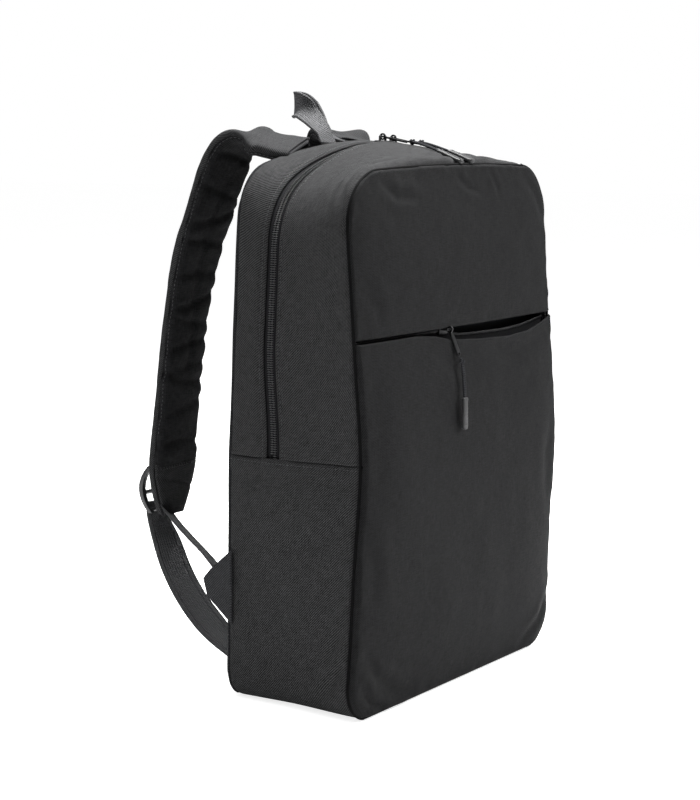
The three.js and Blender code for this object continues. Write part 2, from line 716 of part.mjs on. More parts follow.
// ---- Shoulder straps (drawn for the left, mirrored for the right) ----
// Near the top the line is placed by the strap's inner edge, which leaves the handle clear.
const strapTop = [[21, 62.5, 439], [26, 76, 444.5], [33, 91, 444], [39, 104, 434.5]].map(
  ([inner, y, z]) => [-(inner + strapWidth / 2), y, z]);
const strapLine = [...strapTop, [-74, 115, 415], [-77, 127, 386], [-77.5, 138, 358], [-78, 147, 328],
  [-78, 154, 298], [-78, 160, 264], [-78, 165, 228], [-78, 169, 195], [-78, 172, 163], [-78, 174.5, 128]];
const strapAcross = [[1, 0, 0.11], [1, 0, 0.08], [1, 0.02, 0.04], [1, 0.04, 0], [1, 0.08, 0], [1, 0.1, 0],
  [1, 0.1, 0], [1, 0.1, 0], [1, 0.1, 0], [1, 0.1, 0], [1, 0.1, 0], [1, 0.08, 0], [1, 0.04, 0], [1, 0, 0]];
const strapCount = 24;
const strapFrames = frameAlong(strapLine, strapAcross, strapCount);
const strapLength = new THREE.CatmullRomCurve3(strapLine.map((p) => new THREE.Vector3(...p))).getLength();

const frontFace = foamWall / 2 + gap + skinWall;

function strapHalfAt(index) {
  const left = strapLength * (1 - index / strapCount);
  const share = THREE.MathUtils.smoothstep(left, 0, strapTaper);
  return lerp(strapEndWidth, strapWidth, Math.sqrt(share)) / 2;
}

function strapLayer(out0, out1, first = 0, last = strapCount, trim = 0) {
  const rows = strapFrames.map((frame, i) => ({ frame, half: strapHalfAt(i) - trim })).slice(first, last + 1);
  const face = (out) => rows.map(({ frame, half }) => [-1, 0, 1].map((u) => placed(frame, u * half, out)));
  return slab(face(out0), face(out1));
}

// The binding runs down one edge of the strap, round its end and up the other edge.
function strapBinding() {
  const route = [];
  for (let i = 0; i <= strapCount; i += 1) route.push({ frame: strapFrames[i], v: -strapHalfAt(i), s: 0 });
  for (let i = strapCount; i >= 0; i -= 1) route.push({ frame: strapFrames[i], v: strapHalfAt(i), s: 0 });
  const last = strapCount;
  const edge = (offset) => route.map(({ frame, v }, k) => {
    const atEnd = k === last || k === last + 1;
    const across = v + Math.sign(v) * offset;
    return [-frontFace, frontFace].map((out) => {
      const point = placed(frame, across, out);
      return atEnd ? point.addScaledVector(frame.tangent, offset) : point;
    });
  });
  return slab(edge(gap + bindingWall), edge(gap));
}

function ladderLockGeometry() {
  const { width, height, rail, wall, bar, bow } = lock;
  // The side view is a bowed rail, hanging from its top bar at the origin.
  const profile = new THREE.Shape();
  const outer = new THREE.QuadraticBezierCurve(
    new THREE.Vector2(-wall / 2, bar / 2), new THREE.Vector2(2 * bow + wall, -height / 2 + bar / 2),
    new THREE.Vector2(-wall / 2, -height + bar / 2),
  );
  const points = outer.getPoints(8);
  const back = points.map((p) => new THREE.Vector2(p.x + wall, p.y)).reverse();
  profile.setFromPoints([...points, ...back]);
  const rails = [-1, 1].map((side) => {
    const geometry = alongX(profile, rail);
    geometry.translate(side * (width - rail) / 2, 0, 0);
    return geometry;
  });
  const bowAt = (z) => {
    const t = (bar / 2 - z) / height;
    return 2 * t * (1 - t) * (2 * bow + wall) - (wall / 2) * (t * t + (1 - t) * (1 - t)) + wall / 2;
  };
  const bars = [0, -height * 0.55, -height + bar].map((z) => {
    const geometry = new THREE.CylinderGeometry(bar / 2, bar / 2, width - rail, 12);
    geometry.rotateZ(Math.PI / 2);
    geometry.translate(0, bowAt(z), z);
    return geometry;
  });
  const whole = joined([...rails, ...bars]);
  whole.translate(0, -bowAt(0), 0);
  return whole;
}

const lockPivot = [-78, 184.6, 166];

// The loop is webbing sewn to the strap's outer face, folded round the lock's top bar.
function lockLoopGeometry() {
  const hole = lock.bar / 2 + 0.5;
  const outer = hole + webWall;
  const ring = new THREE.Shape(circle(outer, 18));
  ring.holes.push(new THREE.Path(circle(hole, 18)));
  const eye = alongX(ring, webWidth - 3);
  const strapSlope = 0.083;
  const tail = new THREE.Shape();
  tail.moveTo(-outer, 0);
  tail.lineTo(-outer + webWall, 0);
  tail.lineTo(-outer + webWall - strapSlope * loopSewn, loopSewn);
  tail.lineTo(-outer - strapSlope * loopSewn, loopSewn);
  return joined([eye, alongX(tail, webWidth - 3)]);
}

// The wing is sewn along the rear seam of the lower band and stands out behind it.
const wing = { low: 62, high: 122, wall: 3.6, reach: 22, lap: 6 };
const wingX = footRearHalf + gap + wing.wall / 2;

function wingGeometry() {
  const outline = new THREE.Shape();
  const tip = rearY + wing.reach;
  outline.moveTo(rearY - wing.lap, wing.high);
  outline.lineTo(rearY - wing.lap, wing.low);
  outline.lineTo(tip - 4, wing.low + 20);
  outline.lineTo(tip, wing.low + 34);
  outline.lineTo(tip - 7, wing.low + 42);
  return alongX(outline, wing.wall);
}

// The tight webbing ends in front of the free end, further off the wider they are.
const webLead = webWidth / 2 - 3.8;
const loadLine = [[-149, 84.6, 97], [-138, 100, 101], [-121, 122, 107], [-104, 145, 113],
  [-89, 174.7 - webLead, 118.5], [-80, 188.2 - webLead, 121.8]];
const loadAcross = [[0, -0.3, 0.95], [0.2, -0.3, 0.9], [0.4, -0.3, 0.85], [0.6, -0.3, 0.7], [0.85, -0.2, 0.4],
  [1, -0.1, 0.1]];
const tailLine = [[-79, 188.2, 124.8], [-79.5, 185.2, 114], [-80, 180.8, 104], [-80, 177, 94], [-80, 172.8, 83],
  [-80, 167, 71], [-80, 160, 59.5], [-80, 151, 48], [-80, 141, 38], [-80, 130, 29], [-80, 119, 21.5],
  [-80, 108, 15], [-80, 98, 9.8], [-80, 89, 5.8], [-80, 80.5, 2.8]];

function flatSection(width, wall) {
  const shape = new THREE.Shape();
  shape.moveTo(-width / 2, -wall / 4);
  shape.lineTo(-width / 2 + wall, -wall / 2);
  shape.lineTo(width / 2 - wall, -wall / 2);
  shape.lineTo(width / 2, -wall / 4);
  shape.lineTo(width / 2, wall / 4);
  shape.lineTo(width / 2 - wall, wall / 2);
  shape.lineTo(-width / 2 + wall, wall / 2);
  shape.lineTo(-width / 2, wall / 4);
  return shape;
}

function buildStraps() {
  const foamHalf = foamWall / 2;
  const strapPieces = {
    strap_outer: [strapLayer(-frontFace, -foamHalf - gap), 'twill'],
    strap_foam: [strapLayer(-foamHalf, foamHalf, 1, strapCount - 1, 1), 'foam'],
    strap_lining: [strapLayer(foamHalf + gap, frontFace), 'mesh'],
    strap_binding: [strapBinding(), 'twill'],
    strap_end_cap: [strapLayer(frontFace + gap, frontFace + gap + skinWall,
      strapCount - Math.round(strapCap / strapLength * strapCount)), 'twill'],
    load_webbing: [ribbon(loadLine, loadAcross, webWidth - 1, webWall, 14), 'webbing'],
    tail_webbing: [tubeAlong(tailLine, flatSection(webWidth, webWall), 24), 'webbing'],
  };
  const placedPieces = {
    lock_loop: [lockLoopGeometry(), 'webbing', lockPivot],
    ladder_lock: [ladderLockGeometry(), 'plastic', lockPivot],
    strap_wing: [wingGeometry(), 'twill', [-wingX, 0, 0]],
  };
  for (const [name, [geometry, finish, place]] of Object.entries(placedPieces)) {
    geometry.translate(...place);
    strapPieces[name] = [geometry, finish];
  }
  for (const [name, [geometry, finish]] of Object.entries(strapPieces)) {
    addPart(`${name}_left`, geometry, finish);
    addPart(`${name}_right`, mirrored(geometry), finish);
  }
}

buildBands();
buildFront();
buildBack();
buildSleeve();
buildMainZip();
buildMainPulls();
buildPocketZip();
buildHandle();
buildStraps();

export default backpack;
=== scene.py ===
"""School backpack: the visual model, laid out as a Blender add-on that also runs as a script."""
import math

import bmesh
import bpy
import numpy as np
from bpy.props import FloatProperty, FloatVectorProperty, IntProperty, PointerProperty
from mathutils import Matrix, Vector


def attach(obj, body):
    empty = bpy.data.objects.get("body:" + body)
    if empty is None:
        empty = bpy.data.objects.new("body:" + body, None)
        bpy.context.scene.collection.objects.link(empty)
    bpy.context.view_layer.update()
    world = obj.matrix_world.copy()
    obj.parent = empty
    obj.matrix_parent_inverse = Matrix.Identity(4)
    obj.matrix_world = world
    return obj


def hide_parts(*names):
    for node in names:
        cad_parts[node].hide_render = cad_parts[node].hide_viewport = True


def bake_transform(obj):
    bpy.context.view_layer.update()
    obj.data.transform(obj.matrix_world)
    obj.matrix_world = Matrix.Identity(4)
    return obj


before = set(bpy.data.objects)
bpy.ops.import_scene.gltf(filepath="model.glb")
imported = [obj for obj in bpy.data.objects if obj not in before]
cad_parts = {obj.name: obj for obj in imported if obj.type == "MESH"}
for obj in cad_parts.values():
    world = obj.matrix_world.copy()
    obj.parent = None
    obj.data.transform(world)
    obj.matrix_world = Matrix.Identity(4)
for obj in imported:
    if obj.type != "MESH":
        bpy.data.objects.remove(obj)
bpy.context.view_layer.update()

bl_info = {
    "name": "School Backpack",
    "version": (1, 0, 0),
    "blender": (4, 5, 0),
    "location": "3D View > Sidebar > Backpack",
    "description": "Builds the cloth, zips, webbing and straps of a school backpack",
    "category": "Object",
}

SIDES = (("left", -1), ("right", 1))

# ---- Outline of the bag, in metres: one section at the front seam, the zip and the rear seam ----
FRONT_Y, ZIP_Y, REAR_Y = -0.060, 0.017, 0.060
BAND_SEAM = 0.197
SLIT_Z, SLIT_HALF = 0.291, 0.0013
SLOT_HALF = 0.006
CROWN_RADIUS, CROWN_TOP = 0.205, 0.4385
# Least heights of the front cloth and of the dark cord along its seam, which is painted shade of the seam
# groove, so that neither reaches below the floor
PANEL_LOWEST, SEAM_LOWEST = 0.0022, 0.0013
SECTIONS = (
    dict(y=FRONT_Y, top=0.421, bend=1 / 2.5, corner=0.042, lean=0.5,
         half=0.154, foot=0.157, foot_corner=0.030),
    dict(y=ZIP_Y, top=CROWN_TOP, bend=1 / CROWN_RADIUS, corner=0.062, lean=4.5,
         half=0.150, foot=0.154, foot_corner=0.026),
    dict(y=REAR_Y, top=0.434, bend=1 / 0.420, corner=0.044, lean=4.5,
         half=0.147, foot=0.151, foot_corner=0.022),
)


def between(y, key):
    a, b, c = SECTIONS
    return (a[key] * (y - b["y"]) * (y - c["y"]) / ((a["y"] - b["y"]) * (a["y"] - c["y"]))
            + b[key] * (y - a["y"]) * (y - c["y"]) / ((b["y"] - a["y"]) * (b["y"] - c["y"]))
            + c[key] * (y - a["y"]) * (y - b["y"]) / ((c["y"] - a["y"]) * (c["y"] - b["y"])))


def outline_at(y):
    shape = {key: between(y, key) for key in ("top", "corner", "half", "foot", "foot_corner")}
    shape["radius"] = 1 / between(y, "bend")
    shape["lean"] = lean = math.radians(between(y, "lean"))
    radius, corner = shape["radius"], shape["corner"]

    def corner_end(angle):
        x = (radius - corner) * math.sin(angle) + corner * math.cos(lean)
        z = shape["top"] - radius + (radius - corner) * math.cos(angle) + corner * math.sin(lean)
        return x, z

    low, high = 0.0, math.pi / 3
    for _ in range(50):
        middle = (low + high) / 2
        x, z = corner_end(middle)
        if x + math.tan(lean) * (z - BAND_SEAM) < shape["half"]:
            low = middle
        else:
            high = middle
    shape.update(y=y, angle=low, end=corner_end(low))
    shape["corner_top"] = shape["top"] - radius * (1 - math.cos(low))
    return shape


SIDE_ROWS, CORNER_ROWS, CROWN_ROWS = 92, 36, 110


def upper_points(y, inset=0.0):
    """Points over the top of the bag, from the left band seam to the right one."""
    s = outline_at(y)
    f = np.linspace(0, 1, SIDE_ROWS, endpoint=False)
    side_x = s["half"] + (s["end"][0] - s["half"]) * f - inset / math.cos(s["lean"])
    side_z = BAND_SEAM + (s["end"][1] - BAND_SEAM) * f
    turn = np.linspace(math.pi / 2 - s["lean"], s["angle"], CORNER_ROWS, endpoint=False)
    reach = s["radius"] - s["corner"]
    corner_x = reach * math.sin(s["angle"]) + (s["corner"] - inset) * np.sin(turn)
    corner_z = s["top"] - s["radius"] + reach * math.cos(s["angle"]) + (s["corner"] - inset) * np.cos(turn)
    turn = np.linspace(-s["angle"], s["angle"], CROWN_ROWS)
    crown_x = (s["radius"] - inset) * np.sin(turn)
    crown_z = s["top"] - s["radius"] + (s["radius"] - inset) * np.cos(turn)
    x = np.concatenate([-side_x, -corner_x, crown_x, corner_x[::-1], side_x[::-1]])
    z = np.concatenate([side_z, corner_z, crown_z, corner_z[::-1], side_z[::-1]])
    return np.stack([x + lean(y, z), y + sway(x, y, z), z], -1)


def lean(y, z):
    """How far the soft front of the bag leans sideways at a height; none behind the zip."""
    shift = 0.0095 * bell(z - 0.195, 0.065) - 0.0105 * bell(z - 0.395, 0.075) - 0.0065 * bell(z, 0.06)
    return shift * (1 - smoothstep((y - FRONT_Y) / (ZIP_Y - FRONT_Y)))


def sway(x, y, z):
    """How far the zip wanders back from its straight line on the sides of the bag."""
    front = smoothstep((y - FRONT_Y) / (ZIP_Y - SLOT_HALF - FRONT_Y))
    rear = smoothstep((REAR_Y - y) / (REAR_Y - ZIP_Y - SLOT_HALF))
    side = smoothstep((z - BAND_SEAM) / 0.09) * smoothstep((np.abs(x) - 0.035) / 0.07)
    return 0.0075 * front * rear * side


def lower_points(y, inset=0.0):
    """Points down the left side, over the base and up the right side."""
    s = outline_at(y)
    centre = s["foot"] - s["foot_corner"]
    f = np.linspace(0, 1, 70, endpoint=False)
    side_x = s["half"] + (s["foot"] - s["half"]) * f - inset
    side_z = BAND_SEAM + (s["foot_corner"] - BAND_SEAM) * f
    turn = np.linspace(0, math.pi / 2, 24, endpoint=False)
    corner_x = centre + (s["foot_corner"] - inset) * np.cos(turn)
    corner_z = s["foot_corner"] - (s["foot_corner"] - inset) * np.sin(turn)
    base_x = np.linspace(-centre, centre, 90)
    x = np.concatenate([-side_x, -corner_x, base_x, corner_x[::-1], side_x[::-1]])
    z = np.concatenate([side_z, corner_z, np.full(90, inset), corner_z[::-1], side_z[::-1]])
    return np.stack([x + lean(y, z), np.full_like(x, y), z], -1)


def half_width_at(s, z):
    """Half the panel's width at each height of one outline."""
    z = np.asarray(z, float)
    foot, corner = s["foot"], s["foot_corner"]
    low = foot - corner + np.sqrt(np.maximum(0, corner ** 2 - np.maximum(0, corner - z) ** 2))
    side = foot + (s["half"] - foot) * (z - corner) / (BAND_SEAM - corner)
    upper = s["half"] + (s["end"][0] - s["half"]) * (z - BAND_SEAM) / (s["end"][1] - BAND_SEAM)
    centre_x = (s["radius"] - s["corner"]) * math.sin(s["angle"])
    centre_z = s["top"] - s["radius"] + (s["radius"] - s["corner"]) * math.cos(s["angle"])
    top = centre_x + np.sqrt(np.maximum(0, s["corner"] ** 2 - (z - centre_z) ** 2))
    return np.select([z < corner, z < BAND_SEAM, z < s["end"][1]], [low, side, upper], top)


def arch_at(s, x, z):
    """Lifts a row of the panel so that the top row follows the arc over the top."""
    reach = s["radius"] * math.sin(s["angle"])
    arc = s["top"] - s["radius"] + np.sqrt(s["radius"] ** 2 - np.minimum(np.abs(x), reach) ** 2)
    share = smoothstep((z - s["end"][1]) / (s["corner_top"] - s["end"][1]))
    return z + (arc - s["corner_top"]) * share


# ---- Numbers: smooth steps, noise and creases ----
def smoothstep(t):
    t = np.clip(t, 0, 1)
    return t * t * (3 - 2 * t)


def bell(d, width):
    return np.exp(-(d / width) ** 2)


def lattice(ix, iy, iz, seed):
    h = (ix * 374761393 + iy * 668265263 + iz * 1440662683 + seed * 97531) & 0xFFFFFFFF
    h = ((h ^ (h >> 13)) * 1274126177) & 0xFFFFFFFF
    return ((h ^ (h >> 16)) & 0xFFFF) / 32767.5 - 1


def noise3(points, seed=0):
    """Smooth value noise from -1 to 1 for an array of points."""
    cell = np.floor(points).astype(np.int64)
    f = points - cell
    f = f * f * f * (f * (f * 6 - 15) + 10)
    total = 0
    for dx in (0, 1):
        for dy in (0, 1):
            for dz in (0, 1):
                weight = (np.where(dx, f[..., 0], 1 - f[..., 0]) * np.where(dy, f[..., 1], 1 - f[..., 1])
                          * np.where(dz, f[..., 2], 1 - f[..., 2]))
                value = lattice(cell[..., 0] + dx, cell[..., 1] + dy, cell[..., 2] + dz, seed)
                total = total + weight * value
    return total


def fractal(points, scale, seed=0, octaves=3):
    """Layered noise; scale is the size of its largest features in metres, one number or one for each axis."""
    q = points / np.asarray(scale)
    total, gain = 0, 1.0
    for octave in range(octaves):
        total = total + gain * noise3(q * 2 ** octave + 7.3 * octave, seed + octave)
        gain *= 0.5
    return total / (2 - gain * 2)


def line_distance(a, b, line):
    """Distance in a plane from points (a, b) to a polyline, and how far along it the nearest point is."""
    best, along = np.full(np.shape(a), 1e9), np.zeros(np.shape(a))
    line = np.asarray(line, float)
    lengths = np.hypot(*np.diff(line, axis=0).T)
    total, run = lengths.sum(), 0.0
    for (p, q, length) in zip(line[:-1], line[1:], lengths):
        t = np.clip(((a - p[0]) * (q[0] - p[0]) + (b - p[1]) * (q[1] - p[1])) / max(length, 1e-9) ** 2, 0, 1)
        d = np.hypot(a - p[0] - t * (q[0] - p[0]), b - p[1] - t * (q[1] - p[1]))
        near = d < best
        best = np.where(near, d, best)
        along = np.where(near, (run + t * length) / total, along)
        run += length
    return best, along


def creases(a, b, lines):
    """Sum of soft creases: each is (polyline, depth, width) and fades out at both ends."""
    total = np.zeros(np.shape(a))
    for line, depth, width in lines:
        d, along = line_distance(a, b, line)
        fade = np.sin(math.pi * np.clip(along, 0.03, 0.97)) ** 0.6
        total += fade * depth * (-bell(d, width) + 0.55 * bell(d - 1.9 * width, 1.2 * width))
    return total


def catmull(points, count):
    """A centripetal Catmull-Rom curve through points, at evenly spaced values of its parameter."""
    p = np.asarray(points, float)
    p = np.vstack([2 * p[0] - p[1], p, 2 * p[-1] - p[-2]])
    out = []
    for t in np.linspace(0, len(points) - 1, count + 1):
        i = min(int(t), len(points) - 2)
        w = t - i
        a, b, c, d = p[i:i + 4]
        d0, d1, d2 = (max(np.linalg.norm(v) ** 0.5, 1e-4) for v in (b - a, c - b, d - c))
        t1 = ((b - a) / d0 - (c - a) / (d0 + d1) + (c - b) / d1) * d1
        t2 = ((c - b) / d1 - (d - b) / (d1 + d2) + (d - c) / d2) * d1
        out.append(b + t1 * w + (-3 * b + 3 * c - 2 * t1 - t2) * w * w + (2 * b - 2 * c + t1 + t2) * w ** 3)
    return np.array(out)


def unit(v):
    return v / np.maximum(np.linalg.norm(v, axis=-1, keepdims=True), 1e-12)


class Ribbon:
    """Frames along a line with a chosen width direction, for straps and webbing."""

    def __init__(self, points, widths, count):
        self.centre = catmull(points, count)
        self.tangent = unit(np.gradient(self.centre, axis=0))
        across = catmull(widths, count)
        across = across - (across * self.tangent).sum(-1, keepdims=True) * self.tangent
        self.width = unit(across)
        self.normal = np.cross(self.tangent, self.width)
        steps = np.linalg.norm(np.diff(self.centre, axis=0), axis=-1)
        self.run = np.concatenate([[0], np.cumsum(steps)])
        self.length = self.run[-1]

    def place(self, across, out):
        """Points at distances across and out, each an array of one row for each frame."""
        return (self.centre[:, None] + across[..., None] * self.width[:, None]
                + out[..., None] * self.normal[:, None])


# ---- Meshes ----
def link(obj):
    bpy.context.scene.collection.objects.link(obj)
    return obj


def smooth(mesh, angle=50):
    mesh.shade_smooth()
    mesh.set_sharp_from_angle(angle=math.radians(angle))


def grid_mesh(name, points, flip=False):
    """A sheet from rows of points, with its UV in metres along both directions.
    It faces rows crossed with columns, or the other way with flip set."""
    rows, columns = points.shape[:2]
    index = np.arange(rows * columns).reshape(rows, columns)
    quads = np.stack([index[:-1, :-1], index[1:, :-1], index[1:, 1:], index[:-1, 1:]], -1).reshape(-1, 4)
    flat = points.reshape(-1, 3)
    if flip:
        quads = quads[:, ::-1]
    mesh = bpy.data.meshes.new(name)
    mesh.from_pydata(flat.tolist(), [], quads.tolist())
    middle_column, middle_row = points[:, columns // 2], points[rows // 2]
    u = np.concatenate([[0], np.cumsum(np.linalg.norm(np.diff(middle_column, axis=0), axis=-1))])
    u = -u if flip else u
    v = np.concatenate([[0], np.cumsum(np.linalg.norm(np.diff(middle_row, axis=0), axis=-1))])
    uv = np.stack(np.meshgrid(u, v, indexing="ij"), -1).reshape(-1, 2)
    loops = np.zeros(len(mesh.loops), int)
    mesh.loops.foreach_get("vertex_index", loops)
    mesh.uv_layers.new(name="Cloth").data.foreach_set("uv", uv[loops].ravel())
    smooth(mesh)
    return mesh


def apply_modifiers(obj):
    """Replaces the object's mesh by its evaluated one, and removes the modifiers."""
    graph = bpy.context.evaluated_depsgraph_get()
    graph.update()
    mesh = bpy.data.meshes.new_from_object(obj.evaluated_get(graph))
    old = obj.data
    obj.modifiers.clear()
    obj.data = mesh
    mesh.name = obj.name
    if old.users == 0:
        bpy.data.meshes.remove(old)
    return obj


def sheet_object(name, points, wall, material, flip=False):
    """A closed sheet of cloth with its outer face on the points."""
    obj = link(bpy.data.objects.new(name, grid_mesh(name, points, flip)))
    solid = obj.modifiers.new("Wall", "SOLIDIFY")
    solid.thickness = wall
    solid.offset = -1
    solid.use_even_offset = False
    apply_modifiers(obj)
    dress(obj, material)
    return obj


def dress(obj, material):
    obj.data.materials.clear()
    obj.data.materials.append(MATERIALS[material])


def tube_mesh(name, points, radius, sides=10, closed=False):
    """A round tube along a line of points; radius is one number or one for each point."""
    p = np.asarray(points, float)
    if closed:
        tangent = unit(np.roll(p, -1, 0) - np.roll(p, 1, 0))
    else:
        tangent = unit(np.gradient(p, axis=0))
    side = unit(np.cross(tangent[0], (0.3, 0.2, 1.0)))
    sides_list = []
    for t in tangent:
        side = side - (side * t).sum() * t
        side = side / np.linalg.norm(side)
        sides_list.append(side)
    across = np.array(sides_list)
    up = np.cross(tangent, across)
    turn = np.linspace(0, 2 * math.pi, sides, endpoint=False)
    reach = radius if np.isscalar(radius) else np.asarray(radius)[:, None, None]
    ring = across[:, None] * np.cos(turn)[None, :, None] + up[:, None] * np.sin(turn)[None, :, None]
    points = p[:, None] + reach * ring
    mesh = bpy.data.meshes.new(name)
    n = len(p)
    index = np.arange(n * sides).reshape(n, sides)
    index = np.hstack([index, index[:, :1]])
    if closed:
        index = np.vstack([index, index[:1]])
    quads = np.stack([index[:-1, :-1], index[:-1, 1:], index[1:, 1:], index[1:, :-1]], -1).reshape(-1, 4)
    faces = quads.tolist()
    if not closed:
        faces += [list(range(sides))[::-1], list(range((n - 1) * sides, n * sides))]
    mesh.from_pydata(points.reshape(-1, 3).tolist(), [], faces)
    bm = bmesh.new()
    bm.from_mesh(mesh)
    bmesh.ops.recalc_face_normals(bm, faces=bm.faces)
    bm.to_mesh(mesh)
    bm.free()
    smooth(mesh)
    return mesh


def tube_object(name, points, radius, material, **options):
    obj = link(bpy.data.objects.new(name, tube_mesh(name, points, radius, **options)))
    dress(obj, material)
    return obj


def rounded_copy(name, node, width, material, segments=3):
    """A copy of a hard CAD node with its edges rounded."""
    obj = link(bpy.data.objects.new(name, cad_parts[node].data.copy()))
    mesh = bmesh.new()
    mesh.from_mesh(obj.data)
    bmesh.ops.remove_doubles(mesh, verts=mesh.verts, dist=1e-6)
    bmesh.ops.dissolve_limit(mesh, angle_limit=math.radians(2), verts=mesh.verts, edges=mesh.edges)
    bmesh.ops.recalc_face_normals(mesh, faces=mesh.faces)
    mesh.to_mesh(obj.data)
    mesh.free()
    bevel = obj.modifiers.new("Edges", "BEVEL")
    bevel.width = width
    bevel.segments = segments
    bevel.limit_method = "ANGLE"
    bevel.angle_limit = math.radians(28)
    bevel.use_clamp_overlap = True
    apply_modifiers(obj)
    smooth(obj.data, 40)
    dress(obj, material)
    return obj


def seat(obj, body, slot, *nodes):
    """Puts a finished piece on its body and hides the CAD nodes it stands for."""
    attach(obj, body)
    if nodes:
        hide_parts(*nodes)
    return obj


def hang(obj, a, b, start, end, slot, *nodes):
    """For cloth that spans two bodies: bakes its placement into its mesh and hides the CAD nodes it stands
    for.
    """
    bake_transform(obj)
    if nodes:
        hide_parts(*nodes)
    return obj


# ---- Shader node groups ----
class Tree:
    """Short calls for adding and joining nodes in one node tree."""

    def __init__(self, tree):
        self.tree = tree

    def add(self, kind, **settings):
        node = self.tree.nodes.new(kind)
        for key, value in settings.items():
            setattr(node, key, value)
        return node

    def join(self, source, target):
        self.tree.links.new(source, target)

    def put(self, value, socket):
        if isinstance(value, bpy.types.NodeSocket):
            self.join(value, socket)
        else:
            socket.default_value = value

    def math(self, operation, a, b=0.0, c=None, clamp=False):
        node = self.add("ShaderNodeMath", operation=operation, use_clamp=clamp)
        self.put(a, node.inputs[0])
        self.put(b, node.inputs[1])
        if c is not None:
            self.put(c, node.inputs[2])
        return node.outputs[0]

    def mix(self, factor, a, b):
        node = self.add("ShaderNodeMix", data_type="RGBA")
        self.put(factor, node.inputs[0])
        self.put(a, node.inputs[6])
        self.put(b, node.inputs[7])
        return node.outputs[2]

    def split(self, vector):
        node = self.add("ShaderNodeSeparateXYZ")
        self.join(vector, node.inputs[0])
        return node.outputs

    def vector(self, x, y, z=0.0):
        node = self.add("ShaderNodeCombineXYZ")
        for value, socket in zip((x, y, z), node.inputs):
            self.put(value, socket)
        return node.outputs[0]

    def noise(self, vector, scale, detail=2.0, roughness=0.5):
        node = self.add("ShaderNodeTexNoise")
        self.join(vector, node.inputs["Vector"])
        self.put(scale, node.inputs["Scale"])
        node.inputs["Detail"].default_value = detail
        node.inputs["Roughness"].default_value = roughness
        return node.outputs["Fac"]

    def wave(self, phase):
        """A smooth wave from 0 to 1 that repeats each time phase grows by 1."""
        turn = self.math("MULTIPLY", phase, 2 * math.pi)
        return self.math("MULTIPLY_ADD", self.math("SINE", turn), 0.5, 0.5)


def shader_group(name, inputs, outputs):
    group = bpy.data.node_groups.new(name, "ShaderNodeTree")
    for label, kind, default in inputs:
        socket = group.interface.new_socket(label, in_out="INPUT", socket_type="NodeSocket" + kind)
        if default is not None:
            socket.default_value = default
    for label, kind in outputs:
        group.interface.new_socket(label, in_out="OUTPUT", socket_type="NodeSocket" + kind)
    tree = Tree(group)
    return group, tree, tree.add("NodeGroupInput").outputs, tree.add("NodeGroupOutput").inputs


def weave_group():
    """Woven cloth: crossing threads, a diagonal twill line and the uneven colour of the yarn."""
    group, t, source, result = shader_group("Woven Cloth", (
        ("Vector", "Vector", None), ("Threads", "Float", 900.0), ("Twill", "Float", 0.7),
        ("Melange", "Float", 0.5)), (("Shade", "Float"), ("Height", "Float")))
    u, v, _ = t.split(source["Vector"])
    u, v = t.math("MULTIPLY", u, source["Threads"]), t.math("MULTIPLY", v, source["Threads"])
    wobble = t.noise(t.vector(u, v), 0.11, 2.0)
    slant = t.math("ADD", t.math("ADD", u, v), t.math("MULTIPLY", wobble, 1.2))
    twill = t.wave(t.math("MULTIPLY", slant, 0.5))
    warp, weft = t.wave(u), t.wave(v)
    plain = t.math("MULTIPLY", warp, weft)
    twill = t.math("POWER", twill, 1.5)
    body = t.math("ADD", t.math("MULTIPLY", twill, source["Twill"]),
                  t.math("MULTIPLY", plain, t.math("SUBTRACT", 1.0, source["Twill"])))
    long_way = t.noise(t.vector(t.math("MULTIPLY", u, 0.12), v), 0.9, 2.0, 0.6)
    cross_way = t.noise(t.vector(u, t.math("MULTIPLY", v, 0.12)), 0.9, 2.0, 0.6)
    yarn = t.math("SUBTRACT", t.math("ADD", long_way, cross_way), 1.0)
    shade = t.math("MULTIPLY_ADD", yarn, source["Melange"], t.math("MULTIPLY_ADD", body, 0.75, 0.15))
    t.join(t.math("MAXIMUM", shade, 0.0), result["Shade"])
    t.join(body, result["Height"])
    return group


def webbing_group():
    """Webbing: ribs across the band, two lengthwise grooves and a slightly raised edge."""
    group, t, source, result = shader_group("Ribbed Webbing", (
        ("Vector", "Vector", None), ("Ribs", "Float", 700.0), ("Width", "Float", 0.025)),
        (("Shade", "Float"), ("Height", "Float")))
    u, v, _ = t.split(source["Vector"])
    row = t.math("MULTIPLY", u, source["Ribs"])
    column = t.math("MULTIPLY", v, t.math("MULTIPLY", source["Ribs"], 0.7))
    step = t.math("MULTIPLY", t.math("FLOOR", column), 0.5)
    rib = t.wave(t.math("ADD", row, step))
    cell = t.math("PINGPONG", column, 0.5)
    across = t.math("DIVIDE", v, source["Width"])
    groove = t.math("ABSOLUTE", t.math("SUBTRACT", t.math("ABSOLUTE", t.math("SUBTRACT", across, 0.5)), 0.33))
    line = t.math("SUBTRACT", 1.0, t.math("MULTIPLY", groove, 24.0), clamp=True)
    height = t.math("SUBTRACT", t.math("ADD", rib, cell), line)
    speck = t.noise(t.vector(row, column), 0.6, 2.0)
    t.join(t.math("MULTIPLY_ADD", height, 0.35, t.math("MULTIPLY", speck, 0.5)), result["Shade"])
    t.join(height, result["Height"])
    return group


